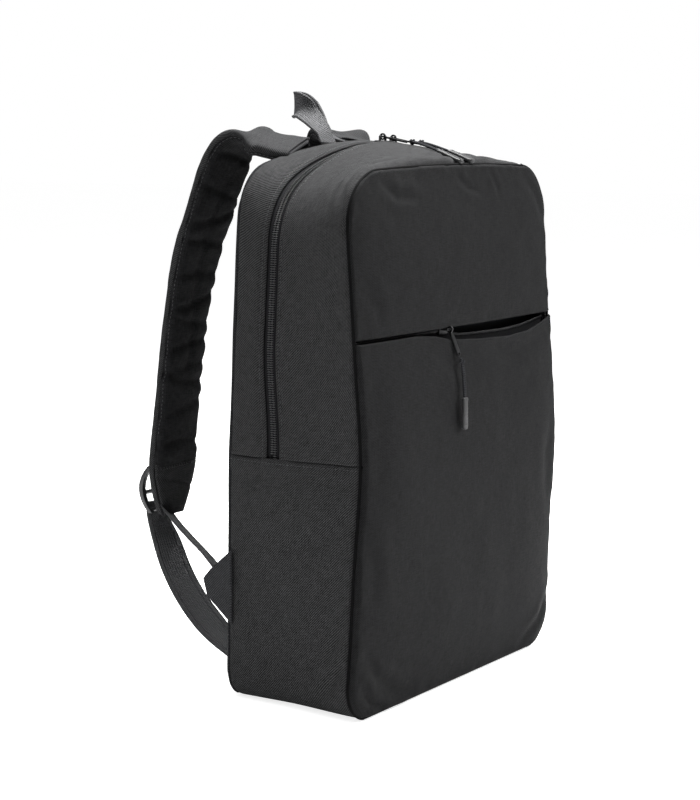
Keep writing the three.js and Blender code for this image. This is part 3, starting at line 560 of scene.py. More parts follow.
def rumple_group():
    """Soft handling creases and lint on cloth, as a height and a lint mask."""
    group, t, source, result = shader_group("Rumple And Lint", (
        ("Vector", "Vector", None), ("Size", "Float", 40.0), ("Lint", "Float", 0.15)),
        (("Height", "Float"), ("Lint", "Float")))
    broad = t.noise(source["Vector"], source["Size"], 3.0, 0.55)
    ridge = t.math("SUBTRACT", 1.0, t.math("ABSOLUTE", t.math("MULTIPLY_ADD", broad, 2.0, -1.0)))
    fine = t.noise(source["Vector"], t.math("MULTIPLY", source["Size"], 5.0), 2.0)
    t.join(t.math("MULTIPLY_ADD", fine, 0.25, ridge), result["Height"])
    dots = t.noise(source["Vector"], 1900.0, 1.0)
    few = t.math("MULTIPLY", t.math("SUBTRACT", dots, 0.72), 9.0, clamp=True)
    t.join(t.math("MULTIPLY", few, source["Lint"]), result["Lint"])
    return group


def speckle_group():
    """Moulded and painted surfaces: a fine grain and softly worn, lighter patches."""
    group, t, source, result = shader_group("Grain And Wear", (
        ("Vector", "Vector", None), ("Grain", "Float", 2500.0), ("Wear", "Float", 0.3)),
        (("Mask", "Float"), ("Height", "Float")))
    grain = t.noise(source["Vector"], source["Grain"], 2.0)
    patch = t.noise(source["Vector"], 160.0, 4.0, 0.6)
    worn = t.math("MULTIPLY", t.math("SUBTRACT", patch, 0.5), 4.0, clamp=True)
    t.join(t.math("MULTIPLY", worn, source["Wear"]), result["Mask"])
    t.join(t.math("MULTIPLY_ADD", patch, 0.4, grain), result["Height"])
    return group


def use_group(tree, group, **values):
    node = tree.add("ShaderNodeGroup", node_tree=group)
    for label, value in values.items():
        tree.put(value, node.inputs[label.replace("_", " ")])
    return node.outputs


def new_material(name):
    material = bpy.data.materials.new(name)
    material.use_nodes = True
    tree = Tree(material.node_tree)
    surface = material.node_tree.nodes["Principled BSDF"]
    return material, tree, surface


def bump(tree, height, strength, distance, under=None):
    node = tree.add("ShaderNodeBump")
    node.inputs["Strength"].default_value = strength
    node.inputs["Distance"].default_value = distance
    tree.join(height, node.inputs["Height"])
    if under is not None:
        tree.join(under, node.inputs["Normal"])
    return node.outputs[0]


def cloth_coordinates(tree, flat):
    """The cloth's own UV in metres, or for a CAD solid the object's own position."""
    if flat:
        return tree.add("ShaderNodeUVMap", uv_map="Cloth").outputs[0]
    x, y, z = tree.split(tree.add("ShaderNodeTexCoord").outputs["Object"])
    return tree.vector(tree.math("ADD", x, y), z)


def cloth_material(name, dark, light, threads, twill, melange, rough=0.85, sheen=0.0, depth=0.0003,
                   rumple=0.0009, size=34.0, flat=True):
    material, t, surface = new_material(name)
    where = cloth_coordinates(t, flat)
    place = t.add("ShaderNodeTexCoord").outputs["Object"]
    weave = use_group(t, GROUPS["weave"], Vector=where, Threads=threads, Twill=twill, Melange=melange)
    folds = use_group(t, GROUPS["rumple"], Vector=place, Size=size)
    tone = t.mix(weave["Shade"], (*dark, 1), (*light, 1))
    t.join(t.mix(folds["Lint"], tone, (0.16, 0.16, 0.165, 1)), surface.inputs["Base Color"])
    roughness = t.math("MULTIPLY_ADD", weave["Shade"], -0.12, rough)
    t.join(roughness, surface.inputs["Roughness"])
    soft = bump(t, folds["Height"], 0.5, rumple)
    t.join(bump(t, weave["Height"], 0.6, depth, soft), surface.inputs["Normal"])
    surface.inputs["Sheen Weight"].default_value = sheen
    surface.inputs["Sheen Roughness"].default_value = 0.45
    surface.inputs["Specular IOR Level"].default_value = 0.08
    return material


def webbing_material(name, dark, light, ribs=700.0, width=0.025, flat=True):
    material, t, surface = new_material(name)
    where = cloth_coordinates(t, flat)
    band = use_group(t, GROUPS["webbing"], Vector=where, Ribs=ribs, Width=width)
    t.join(t.mix(band["Shade"], (*dark, 1), (*light, 1)), surface.inputs["Base Color"])
    t.join(t.math("MULTIPLY_ADD", band["Shade"], -0.15, 0.72), surface.inputs["Roughness"])
    t.join(bump(t, band["Height"], 0.8, 0.0005), surface.inputs["Normal"])
    surface.inputs["Sheen Weight"].default_value = 0.03
    return material


def moulded_material(name, base, worn, rough, metallic=0.0, coat=0.0, grain=2500.0, wear=0.3, depth=0.00005):
    material, t, surface = new_material(name)
    place = t.add("ShaderNodeTexCoord").outputs["Object"]
    marks = use_group(t, GROUPS["speckle"], Vector=place, Grain=grain, Wear=wear)
    t.join(t.mix(marks["Mask"], (*base, 1), (*worn, 1)), surface.inputs["Base Color"])
    t.join(t.math("MULTIPLY_ADD", marks["Mask"], 0.2, rough), surface.inputs["Roughness"])
    t.join(bump(t, marks["Height"], 0.4, depth), surface.inputs["Normal"])
    surface.inputs["Metallic"].default_value = metallic
    surface.inputs["Coat Weight"].default_value = coat
    return material


GROUPS = {}
MATERIALS = {}


def make_materials(cloth):
    GROUPS.update(weave=weave_group(), webbing=webbing_group(),
                  rumple=rumple_group(), speckle=speckle_group())
    twill = dict(threads=cloth.twill_threads, twill=0.95, melange=0.55)
    plain = dict(threads=cloth.plain_threads, twill=0.6, melange=0.6)
    MATERIALS.update(
        twill=cloth_material("Side Twill", (0.0, 0.0, 0.0), (0.058, 0.0583, 0.0598), **twill),
        panel=cloth_material("Front Weave", (0.001, 0.001, 0.0012), (0.0190, 0.0192, 0.0199), rough=0.78,
                             depth=0.0002, **plain),
        strap=cloth_material("Strap Twill", (0.001, 0.001, 0.0012), (0.054, 0.0545, 0.056), **twill),
        padding=cloth_material("Strap Inner Face", (0.001, 0.001, 0.0012), (0.036, 0.0363, 0.038),
                               threads=1100.0, twill=0.2, melange=0.6, rumple=0.0016, size=60.0),
        mesh=cloth_material("Spacer Mesh", (0.004, 0.0041, 0.005), (0.036, 0.0365, 0.039), threads=420.0,
                            twill=0.0, melange=0.2, depth=0.0009),
        lining=cloth_material("Lining", (0.006, 0.006, 0.007), (0.022, 0.0222, 0.025), threads=1500.0,
                              twill=0.0, melange=0.2, flat=False),
        foam=cloth_material("Foam", (0.05, 0.05, 0.052), (0.08, 0.08, 0.084), threads=800.0, twill=0.0,
                            melange=0.8, flat=False),
        tape=cloth_material("Zip Tape", (0.004, 0.004, 0.0045), (0.02, 0.0202, 0.022), threads=1300.0,
                            twill=0.9, melange=0.2),
        tape_solid=cloth_material("Seam Tape", (0.004, 0.004, 0.0045), (0.02, 0.0202, 0.022),
                                  threads=1300.0, twill=0.9, melange=0.2, flat=False),
        # seam: a near-black copy of the zip tape cloth for the cord along the front seam, painted shade of
        # the seam groove
        seam=cloth_material("Seam Groove Painted Shade", (0.0005, 0.0005, 0.0006), (0.004, 0.004, 0.0045),
                            threads=1300.0, twill=0.4, melange=0.2, flat=False),
        wing=cloth_material("Wing Twill", (0.01, 0.0101, 0.011), (0.05, 0.051, 0.054), flat=False, **twill),
        cord=cloth_material("Braided Cord", (0.006, 0.006, 0.007), (0.045, 0.046, 0.05), threads=1300.0,
                            twill=1.0, melange=0.3, flat=False, rumple=0.0002),
        thread=moulded_material("Sewing Thread", (0.022, 0.0225, 0.025), (0.06, 0.06, 0.065), 0.55),
        webbing=webbing_material("Webbing", (0.006, 0.006, 0.007), (0.05, 0.051, 0.055)),
        loop=webbing_material("Loop Webbing", (0.006, 0.006, 0.007), (0.05, 0.051, 0.055), flat=False),
        coil=moulded_material("Zip Coil", (0.035, 0.0355, 0.037), (0.09, 0.09, 0.093), 0.35, coat=0.15),
        metal=moulded_material("Slider Metal", (0.012, 0.0122, 0.013), (0.06, 0.06, 0.063), 0.42,
                               metallic=0.7, wear=0.4),
        plastic=moulded_material("Lock Plastic", (0.012, 0.0122, 0.013), (0.03, 0.03, 0.032), 0.3, coat=0.35,
                                 grain=1400.0, wear=0.3),
        rubber=moulded_material("Pull Rubber", (0.016, 0.0162, 0.017), (0.034, 0.0343, 0.0355), 0.5,
                                wear=0.5),
        floor=floor_material(),
    )


def floor_material():
    material, t, surface = new_material("Studio Floor")
    place = t.add("ShaderNodeTexCoord").outputs["Object"]
    cloud = t.noise(place, 3.0, 2.0)
    t.join(t.mix(cloud, (0.86, 0.86, 0.86, 1), (0.9, 0.9, 0.9, 1)), surface.inputs["Base Color"])
    t.join(t.math("MULTIPLY_ADD", cloud, 0.1, 0.75), surface.inputs["Roughness"])
    seen = t.add("ShaderNodeLightPath").outputs["Is Camera Ray"]
    t.join(t.mix(seen, (0.25, 0.25, 0.25, 1), (1, 1, 1, 1)), surface.inputs["Emission Color"])
    surface.inputs["Emission Strength"].default_value = 0.8
    return material


# ---- Geometry node trees ----
def geometry_group(name, inputs):
    group = bpy.data.node_groups.new(name, "GeometryNodeTree")
    group.is_modifier = True
    group.interface.new_socket("Geometry", in_out="INPUT", socket_type="NodeSocketGeometry")
    for label, kind, default in inputs:
        socket = group.interface.new_socket(label, in_out="INPUT", socket_type="NodeSocket" + kind)
        if default is not None:
            socket.default_value = default
    group.interface.new_socket("Geometry", in_out="OUTPUT", socket_type="NodeSocketGeometry")
    tree = Tree(group)
    return group, tree, tree.add("NodeGroupInput").outputs, tree.add("NodeGroupOutput").inputs


def row_group():
    """Small capsules set at an even pitch along a line, such as stitches or zip teeth.
    Length runs along the line, Width across it in the surface, and Height out of it."""
    group, t, source, result = geometry_group("Even Row", (
        ("Pitch", "Float", 0.003), ("Length", "Float", 0.002), ("Width", "Float", 0.0006),
        ("Height", "Float", 0.0005), ("Slant", "Float", 0.0), ("Jitter", "Float", 0.1),
        ("Seed", "Int", 1), ("Material", "Material", None)))
    curve = t.add("GeometryNodeMeshToCurve")
    t.join(source["Geometry"], curve.inputs["Mesh"])
    even = t.add("GeometryNodeResampleCurve", mode="LENGTH")
    t.join(curve.outputs[0], even.inputs["Curve"])
    t.join(source["Pitch"], even.inputs["Length"])
    capsule = t.add("GeometryNodeMeshUVSphere")
    capsule.inputs["Segments"].default_value = 8
    capsule.inputs["Rings"].default_value = 5
    capsule.inputs["Radius"].default_value = 0.5
    along = t.add("FunctionNodeAlignRotationToVector", axis="X")
    t.join(t.add("GeometryNodeInputTangent").outputs[0], along.inputs["Vector"])
    out = t.add("FunctionNodeAlignRotationToVector", axis="Z", pivot_axis="X")
    t.join(along.outputs[0], out.inputs["Rotation"])
    normal = t.add("GeometryNodeInputNamedAttribute", data_type="FLOAT_VECTOR")
    normal.inputs["Name"].default_value = "out"
    t.join(normal.outputs[0], out.inputs["Vector"])
    lean = t.add("FunctionNodeRotateRotation", rotation_space="LOCAL")
    t.join(out.outputs[0], lean.inputs["Rotation"])
    jitter = t.add("FunctionNodeRandomValue", data_type="FLOAT")
    t.join(t.math("MULTIPLY", source["Jitter"], -1.0), jitter.inputs[2])
    t.join(source["Jitter"], jitter.inputs[3])
    t.join(source["Seed"], jitter.inputs["Seed"])
    turn = t.vector(0.0, 0.0, t.math("ADD", source["Slant"], jitter.outputs[1]))
    euler = t.add("FunctionNodeEulerToRotation")
    t.join(turn, euler.inputs[0])
    t.join(euler.outputs[0], lean.inputs["Rotate By"])
    spread = t.add("GeometryNodeInstanceOnPoints")
    t.join(even.outputs[0], spread.inputs["Points"])
    t.join(capsule.outputs[0], spread.inputs["Instance"])
    t.join(lean.outputs[0], spread.inputs["Rotation"])
    t.join(t.vector(source["Length"], source["Width"], source["Height"]), spread.inputs["Scale"])
    solid = t.add("GeometryNodeRealizeInstances")
    t.join(spread.outputs[0], solid.inputs[0])
    painted = t.add("GeometryNodeSetMaterial")
    t.join(solid.outputs[0], painted.inputs["Geometry"])
    t.join(source["Material"], painted.inputs["Material"])
    t.join(painted.outputs[0], result["Geometry"])
    return group


def row_object(name, lines, material, seed=1, **sizes):
    """Capsules along one or more lines. Each line is (points, outward direction or directions)."""
    vertices, edges, outs = [], [], []
    for points, out in lines:
        start = len(vertices)
        vertices += np.asarray(points).tolist()
        outs += np.broadcast_to(out, np.shape(points)).tolist()
        edges += [(i, i + 1) for i in range(start, len(vertices) - 1)]
    mesh = bpy.data.meshes.new(name)
    mesh.from_pydata(vertices, edges, [])
    attribute = mesh.attributes.new("out", "FLOAT_VECTOR", "POINT")
    attribute.data.foreach_set("vector", np.array(outs, np.float32).ravel())
    obj = link(bpy.data.objects.new(name, mesh))
    modifier = obj.modifiers.new("Row", "NODES")
    modifier.node_group = ROWS["row"]
    values = dict(Seed=seed, Material=MATERIALS[material], **sizes)
    for item in ROWS["row"].interface.items_tree:
        if item.in_out == "INPUT" and item.name in values:
            modifier[item.identifier] = values[item.name]
    apply_modifiers(obj)
    smooth(obj.data)
    return obj


ROWS = {}


# ---- Surfaces ----
class Surface:
    """A grid of points with its outward normals; u and v are the values of its rows and columns."""

    def __init__(self, points, u, v, facing=1):
        self.points, self.u, self.v, self.facing = points, np.asarray(u), np.asarray(v), facing
        self.measure()

    def measure(self):
        du = np.gradient(self.points, axis=0)
        dv = np.gradient(self.points, axis=1)
        self.normal = unit(np.cross(du, dv)) * self.facing

    def push(self, amount):
        """Moves the surface along its normals."""
        self.points = self.points + self.normal * amount[..., None]
        self.measure()
        return self

    def row_line(self, u, inwards=0.0):
        """The line across the surface at one value of u, with its outward directions."""
        i = np.clip(np.searchsorted(self.u, u), 1, len(self.u) - 1)
        w = (u - self.u[i - 1]) / (self.u[i] - self.u[i - 1])
        points = self.points[i - 1] * (1 - w) + self.points[i] * w
        normal = self.normal[i - 1]
        return points + normal * 0.0002 - normal * inwards, normal

    def column_line(self, v, first=0, last=None):
        j = np.clip(np.searchsorted(self.v, v), 1, len(self.v) - 1)
        w = (v - self.v[j - 1]) / (self.v[j] - self.v[j - 1])
        points = self.points[:, j - 1] * (1 - w) + self.points[:, j] * w
        normal = self.normal[:, j - 1]
        return (points + normal * 0.0002)[first:last], normal[first:last]


def spaced(low, high, count, ease=0.35):
    """Values from low to high, closer together near both ends."""
    t = np.linspace(0, 1, count)
    t = (1 - ease) * t + ease * (0.5 - 0.5 * np.cos(math.pi * t))
    return low + (high - low) * t


def band_surface(pointer, y0, y1, columns, facing):
    ys = spaced(y0, y1, columns, 0.6)
    points = np.stack([pointer(y) for y in ys], 1)
    middle = points[:, columns // 2]
    run = np.concatenate([[0], np.cumsum(np.linalg.norm(np.diff(middle, axis=0), axis=-1))])
    return Surface(points, run, ys, facing)


def seam_roll(d, depth=0.0022, width=0.0024):
    """How far cloth turns in where it meets a seam at distance d."""
    return -depth * bell(d, width)


def pucker(points, d, reach, size, height, seed):
    """Short gathers that run square to a seam and fade with distance from it."""
    return height * fractal(points, size, seed, 2) * np.exp(-d / reach)


def front_gusset(shape):
    surface = band_surface(upper_points, FRONT_Y, ZIP_Y - SLOT_HALF, 44, 1)
    points = surface.points
    centre = surface.u[-1] / 2
    a = np.broadcast_to((surface.u - centre)[:, None], points.shape[:2])
    y = np.broadcast_to(surface.v, points.shape[:2])
    d, e = y - FRONT_Y, (ZIP_Y - SLOT_HALF) - y
    top = smoothstep((0.20 - np.abs(a)) / 0.07)
    pressed = 1 - 0.9 * bell(points[..., 0] - 0.012, 0.024) * (points[..., 2] > 0.3)
    fullness = (0.0008 + shape.top_puff * top * pressed) * (1 - np.exp(-d / 0.005)) * np.exp(-d / 0.030)
    amount = fullness + seam_roll(d)
    amount += pucker(points, d, 0.010, (0.013, 0.03, 0.013), 0.0011, 3) * (0.35 + 0.65 * top)
    amount += (0.0016 * fractal(points, (0.09, 0.03, 0.09), 11, 2)
               * smoothstep(d / 0.01) * smoothstep(e / 0.015))
    amount += slot_edge(e)
    amount += creases(a, y, (
        ([(-0.165, -0.056), (-0.140, -0.047), (-0.098, -0.044), (-0.060, -0.048)], 0.0020, 0.0032),
        ([(-0.150, -0.040), (-0.120, -0.031), (-0.090, -0.033)], 0.0011, 0.0045),
        ([(0.040, -0.049), (0.080, -0.044), (0.125, -0.050)], 0.0016, 0.0030),
        ([(-0.030, -0.052), (0.005, -0.046), (0.030, -0.051)], 0.0010, 0.0028),
        ([(0.060, -0.028), (0.100, -0.022), (0.150, -0.030)], 0.0009, 0.0050),
        ([(-0.245, -0.050), (-0.225, -0.043), (-0.200, -0.050)], 0.0010, 0.0040),
        ([(0.190, -0.050), (0.220, -0.040), (0.250, -0.048)], 0.0012, 0.0045),
    ))
    return surface.push(amount)


def slot_edge(e):
    """The folded edge beside the zip: a rounded lip, and a dip along its topstitching."""
    return -0.0013 * bell(e, 0.0010) + 0.0004 * bell(e - 0.0015, 0.0014) - 0.0005 * bell(e - 0.0036, 0.0009)


def rear_gusset():
    surface = band_surface(upper_points, ZIP_Y + SLOT_HALF, REAR_Y, 30, 1)
    points = surface.points
    y = np.broadcast_to(surface.v, points.shape[:2])
    d, e = REAR_Y - y, y - (ZIP_Y + SLOT_HALF)
    amount = 0.0018 * (1 - np.exp(-d / 0.006)) * smoothstep(e / 0.010) + seam_roll(d, 0.0016, 0.002)
    amount += pucker(points, d, 0.010, (0.016, 0.03, 0.016), 0.0008, 21)
    amount += 0.0014 * fractal(points, (0.10, 0.04, 0.10), 23, 2) * smoothstep(e / 0.012)
    amount += slot_edge(e)
    return surface.push(amount)


def lower_band():
    surface = band_surface(lower_points, FRONT_Y, REAR_Y, 56, -1)
    points = surface.points
    y, z = points[..., 1], points[..., 2]
    run = surface.u[:, None]
    below = np.minimum(run, surface.u[-1] - run) * np.ones_like(y)
    d, r = y - FRONT_Y, REAR_Y - y
    stands = smoothstep((z - 0.004) / 0.03)
    amount = (0.0026 * (1 - np.exp(-d / 0.006)) * (1 - np.exp(-r / 0.008))
              * smoothstep(below / 0.03)) * stands
    amount += seam_roll(d) + seam_roll(r, 0.0016, 0.002)
    amount += (pucker(points, d, 0.012, (0.014, 0.03, 0.014), 0.0010, 31)
               + 0.0020 * fractal(points, (0.08, 0.05, 0.10), 33, 3) * smoothstep(d / 0.01)
               * smoothstep(r / 0.01)) * stands * smoothstep(below / 0.02)
    hem = 0.0009 * smoothstep((0.013 - below) / 0.002) - 0.0007 * bell(below, 0.0007)
    amount += hem - 0.0005 * bell(below - 0.0036, 0.0009)
    amount += stands * creases(below, y, (
        ([(0.150, -0.058), (0.170, -0.046), (0.190, -0.026), (0.200, -0.004)], 0.0026, 0.0045),
        ([(0.120, -0.056), (0.140, -0.046), (0.155, -0.040)], 0.0012, 0.0040),
        ([(0.040, -0.050), (0.060, -0.030), (0.065, 0.000)], 0.0009, 0.0070),
        ([(0.090, 0.052), (0.120, 0.036), (0.150, 0.030)], 0.0012, 0.0070),
    ))
    surface.push(amount)
    surface.points[..., 2] = np.maximum(surface.points[..., 2], 0.0002)
    surface.measure()
    return surface


def lip_drop(x, depth):
    """How far the unzipped lower lip of the front pocket hangs below the slit."""
    places = (-0.2, -0.070, -0.045, -0.022, 0.020, 0.072, 0.105, 0.132, 0.151, 0.2)
    shares = (0.0, 0.0, 0.20, 0.58, 0.84, 1.0, 0.84, 0.42, 0.0, 0.0)
    return depth * np.interp(x, places, shares)


def panel_surface(low, high, rows, columns, drop=None):
    s = outline_at(FRONT_Y)
    z = spaced(low, high, rows, 0.3)
    a = spaced(-1, 1, columns, 0.5)
    x = a[None] * half_width_at(s, z)[:, None]
    lift = arch_at(s, x, z[:, None] * np.ones_like(x))
    if drop is not None:
        share = smoothstep((z - (high - 0.090)) / 0.090)[:, None]
        lift = lift - drop(x) * share
    points = np.stack([x + lean(FRONT_Y, lift), np.full_like(x, FRONT_Y - 0.0003), lift], -1)
    return Surface(points, z, a, -1)


def edge_distance(points):
    """Distance in the plane of the panel to the front seam."""
    outline = np.concatenate([upper_points(FRONT_Y)[::4], lower_points(FRONT_Y)[::-1][::4]])
    return line_distance(points[..., 0], points[..., 2], outline[:, [0, 2]])[0]


def rounded_edge(d, radius):
    t = np.clip(d / radius, 0, 1)
    return radius * np.sqrt(1 - (1 - t) ** 2)


def front_lower(shape):
    lip = SLIT_Z - SLIT_HALF
    surface = panel_surface(0.0, lip, 140, 170, lambda x: lip_drop(x, shape.lip_sag))
    points = surface.points
    x, z = points[..., 0], points[..., 2]
    d = edge_distance(points)
    share = np.clip(surface.u[:, None] / lip, 0, 1)
    swell = 1 - np.abs(2 * share - 1) ** 3
    skew = 1 + 0.10 * np.clip(x / 0.15, -1, 1)
    amount = rounded_edge(d, 0.0042) + (0.0012 + 0.0072 * swell) * skew * (1 - np.exp(-d / 0.022))
    under_lip = (surface.u[-1] - surface.u)[:, None] * np.ones_like(x)
    slack = lip_drop(x, 1.0)
    amount += 0.0022 * slack * np.exp(-under_lip / 0.022) + 0.0009 * bell(under_lip, 0.0022)
    amount -= 0.0013 * bell(under_lip, 0.0007)
    amount += pucker(points, d, 0.009, (0.014, 0.05, 0.014), 0.0011, 41)
    soft = smoothstep(d / 0.02)
    amount += soft * (0.0021 * fractal(points, (0.15, 1, 0.20), 43, 2)
                      + 0.0006 * fractal(points, (0.035, 1, 0.05), 47, 2))
    amount += creases(x, z, (
        ([(-0.146, 0.050), (-0.128, 0.030), (-0.100, 0.014), (-0.075, 0.008)], 0.0018, 0.0050),
        ([(-0.150, 0.025), (-0.135, 0.012), (-0.118, 0.006)], 0.0016, 0.0032),
        ([(0.100, 0.010), (0.130, 0.024), (0.148, 0.045)], 0.0016, 0.0050),
        ([(0.040, 0.272), (0.080, 0.262), (0.130, 0.272)], 0.0011, 0.0070),
        ([(-0.040, 0.270), (-0.010, 0.258), (0.030, 0.256)], 0.0008, 0.0080),
        ([(-0.150, 0.150), (-0.135, 0.120), (-0.138, 0.085)], 0.0010, 0.0080),
        ([(0.152, 0.200), (0.138, 0.170), (0.142, 0.130)], 0.0010, 0.0080),
    ))
    surface.push(amount)
    surface.points[..., 2] = np.maximum(surface.points[..., 2], PANEL_LOWEST)
    surface.measure()
    return surface


def front_upper():
    low = SLIT_Z + SLIT_HALF
    surface = panel_surface(low, outline_at(FRONT_Y)["corner_top"], 76, 170)
    points = surface.points
    x, z = points[..., 0], points[..., 2]
    d = edge_distance(points)
    over_lip = (surface.u - low)[:, None] * np.ones_like(x)
    share = np.clip(over_lip / (surface.u[-1] - low), 0, 1)
    swell = 1 - np.abs(2 * share - 1) ** 3
    amount = rounded_edge(d, 0.0026) + (0.0014 + 0.0038 * swell) * (1 - np.exp(-d / 0.045))
    amount += 0.0007 * bell(over_lip, 0.0022) - 0.0013 * bell(over_lip, 0.0007)
    amount += pucker(points, d, 0.006, (0.010, 0.05, 0.010), 0.0010, 51)
    amount += smoothstep(d / 0.02) * (0.0016 * fractal(points, (0.14, 1, 0.10), 53, 2)
                                      + 0.0005 * fractal(points, (0.03, 1, 0.04), 57, 2))
    amount += creases(x, z, (
        ([(-0.010, 0.412), (0.010, 0.402), (0.030, 0.398)], 0.0008, 0.0030),
        ([(0.045, 0.414), (0.055, 0.404), (0.060, 0.392)], 0.0006, 0.0030),
        ([(-0.120, 0.408), (-0.100, 0.398), (-0.070, 0.396)], 0.0012, 0.0040),
        ([(0.100, 0.410), (0.120, 0.396), (0.138, 0.372)], 0.0007, 0.0045),
        ([(-0.146, 0.330), (-0.130, 0.318), (-0.120, 0.300)], 0.0009, 0.0060),
    ))
    return surface.push(amount)


def back_surface():
    """The padded back: a soft rim, raised foam and sewn channels."""
    s = outline_at(REAR_Y)
    z = spaced(0.0, s["corner_top"], 130, 0.3)
    a = spaced(-1, 1, 110, 0.5)
    x = a[None] * half_width_at(s, z)[:, None]
    lift = arch_at(s, x, z[:, None] * np.ones_like(x))
    surface = Surface(np.stack([x, np.full_like(x, REAR_Y + 0.0023), lift], -1), z, a, 1)
    outline = np.concatenate([upper_points(REAR_Y)[::4], lower_points(REAR_Y)[::-1][::4]])
    d = line_distance(x, lift, outline[:, [0, 2]])[0]
    rise = 0.0085 * smoothstep(d / 0.016) - 0.002 * bell(d, 0.003)
    channels = sum(bell(x - place, 0.0035) for place in (-0.052, 0.052))
    channels = np.maximum(channels, bell(lift - 0.300, 0.0035) * (np.abs(x) < 0.11))
    channels = np.maximum(channels, bell(lift - 0.120, 0.0035) * (np.abs(x) < 0.11))
    rise = rise + 0.0015 * smoothstep(d / 0.03) - 0.0050 * channels * smoothstep((d - 0.010) / 0.01)
    rise = rise + 0.0008 * fractal(surface.points, (0.06, 1, 0.06), 61, 2) * smoothstep(d / 0.01)
    return surface.push(rise)


# ---- Straps and webbing ----
STRAP_LINE = [
    (-0.0505, 0.0600, 0.4320), (-0.0545, 0.0715, 0.4340), (-0.0600, 0.0870, 0.4375),
    (-0.0660, 0.0990, 0.4415), (-0.0710, 0.1085, 0.4345), (-0.0755, 0.1175, 0.4150),
    (-0.0790, 0.1270, 0.3860), (-0.0795, 0.1380, 0.3580), (-0.0795, 0.1470, 0.3280),
    (-0.0790, 0.1540, 0.2980), (-0.0780, 0.1600, 0.2640), (-0.0780, 0.1650, 0.2280),
    (-0.0780, 0.1690, 0.1950), (-0.0780, 0.1720, 0.1630), (-0.0780, 0.1745, 0.1280)]
STRAP_ACROSS = [
    (1, 0, 0.14), (1, 0, 0.12), (1, 0.02, 0.08), (1, 0.02, 0.08), (1, 0, 0.04), (1, 0.0, 0), (1, 0.01, 0),
    (1, 0.03, 0), (1, 0.06, 0), (1, 0.1, 0), (1, 0.1, 0), (1, 0.1, 0), (1, 0.08, 0), (1, 0.04, 0), (1, 0, 0)]
STRAP_HALF, STRAP_END_HALF, STRAP_TAPER, STRAP_CAP = 0.030, 0.013, 0.052, 0.046
STRAP_WALL = 0.0012
WEB_WALL, HANDLE_WEB, LOAD_WEB, TAIL_WEB = 0.0016, 0.022, 0.024, 0.025
# Ends of the stretch near a strap's sewn root: from the root to where the strap moves fully with its body
STRAP_BEND_START, STRAP_BEND_END = (-0.051, 0.0625, 0.437), (-0.051, 0.082, 0.437)
TAIL_LINE = [
    (-0.0785, 0.1895, 0.1361), (-0.079, 0.1877, 0.1251), (-0.0795, 0.1830, 0.1145), (-0.080, 0.178, 0.1045),
    (-0.080, 0.1738, 0.0945), (-0.080, 0.1690, 0.0835), (-0.080, 0.1625, 0.0720), (-0.080, 0.1545, 0.0605),
    (-0.080, 0.1455, 0.0500), (-0.080, 0.1355, 0.0405), (-0.080, 0.1245, 0.0315), (-0.080, 0.1130, 0.0230),
    (-0.080, 0.101, 0.0150), (-0.080, 0.0900, 0.0085), (-0.080, 0.0805, 0.0030)]
LOAD_LINE = [
    (-0.1495, 0.0690, 0.1010), (-0.138, 0.088, 0.1080), (-0.121, 0.1132, 0.1129), (-0.104, 0.1397, 0.1187),
    (-0.089, 0.1651, 0.1266), (-0.0795, 0.1815, 0.1335)]
LOAD_ACROSS = [(0.72, -0.19, -0.66), (0.7, -0.28, -0.65), (0.7, -0.33, -0.63), (0.72, -0.28, -0.63),
               (0.73, -0.2, -0.65), (0.73, -0.15, -0.66)]
HANDLE_LINE = [
    (-0.008, 0.0605, 0.4370), (-0.0075, 0.0660, 0.4465), (-0.0065, 0.0740, 0.4541), (-0.0050, 0.0831, 0.4611),
    (-0.0020, 0.0928, 0.4675), (0.0035, 0.1010, 0.4690), (0.0090, 0.0978, 0.4685), (0.0120, 0.0902, 0.4637),
    (0.0125, 0.0805, 0.4554), (0.0115, 0.0700, 0.4454), (0.0095, 0.0635, 0.4400)]
HANDLE_ACROSS = [
    (1, 0, 0), (0.93, 0.18, 0.31), (0.88, 0.16, 0.44), (0.80, 0.15, 0.58), (0.25, 0.1, 0.96), (0, 0, 1),
    (-0.1, -0.1, 0.99), (-0.3, -0.3, 0.9), (-0.6, -0.35, 0.7), (-0.88, -0.25, 0.35), (-1, 0, 0.1)]
WRINKLE_HEIGHTS = (0.430, 0.399, 0.378, 0.360, 0.334, 0.308, 0.291, 0.274, 0.254, 0.241, 0.218, 0.190)


def mirror(points, side):
    return points * np.array([1.0 if side < 0 else -1.0, 1.0, 1.0])


def strap_ribbon():
    return Ribbon(STRAP_LINE, STRAP_ACROSS, 220)


def strap_half(ribbon):
    share = smoothstep((ribbon.length - ribbon.run) / STRAP_TAPER)
    return STRAP_END_HALF + (STRAP_HALF - STRAP_END_HALF) * np.sqrt(share)


def strap_wrinkles(ribbon, u):
    """Cross folds and a lengthwise crease on the face that lies against the wearer."""
    run, z = ribbon.run[:, None], ribbon.centre[:, 2][:, None]
    total = np.zeros((len(ribbon.run), len(u)))
    apex = ribbon.run[np.argmax(ribbon.centre[:, 2])]
    down = ribbon.run > apex
    for k, height in enumerate(WRINKLE_HEIGHTS):
        place = np.interp(-height, -ribbon.centre[down, 2], ribbon.run[down])
        tilt = 0.006 * math.sin(2.3 * k) * u + 0.004 * math.cos(1.7 * k) * u ** 2
        d = run - place - tilt[None]
        strength = 0.0013 + 0.0006 * math.sin(3.1 * k)
        total += -strength * bell(d, 0.0034) + 0.6 * strength * bell(d - 0.0075, 0.006)
    middle = smoothstep((0.415 - z) / 0.02) * smoothstep((z - 0.235) / 0.03)
    total -= 0.0016 * middle * bell((u[None] + 0.08 + 0.1 * np.sin(z * 40)) * STRAP_HALF, 0.005)
    return total


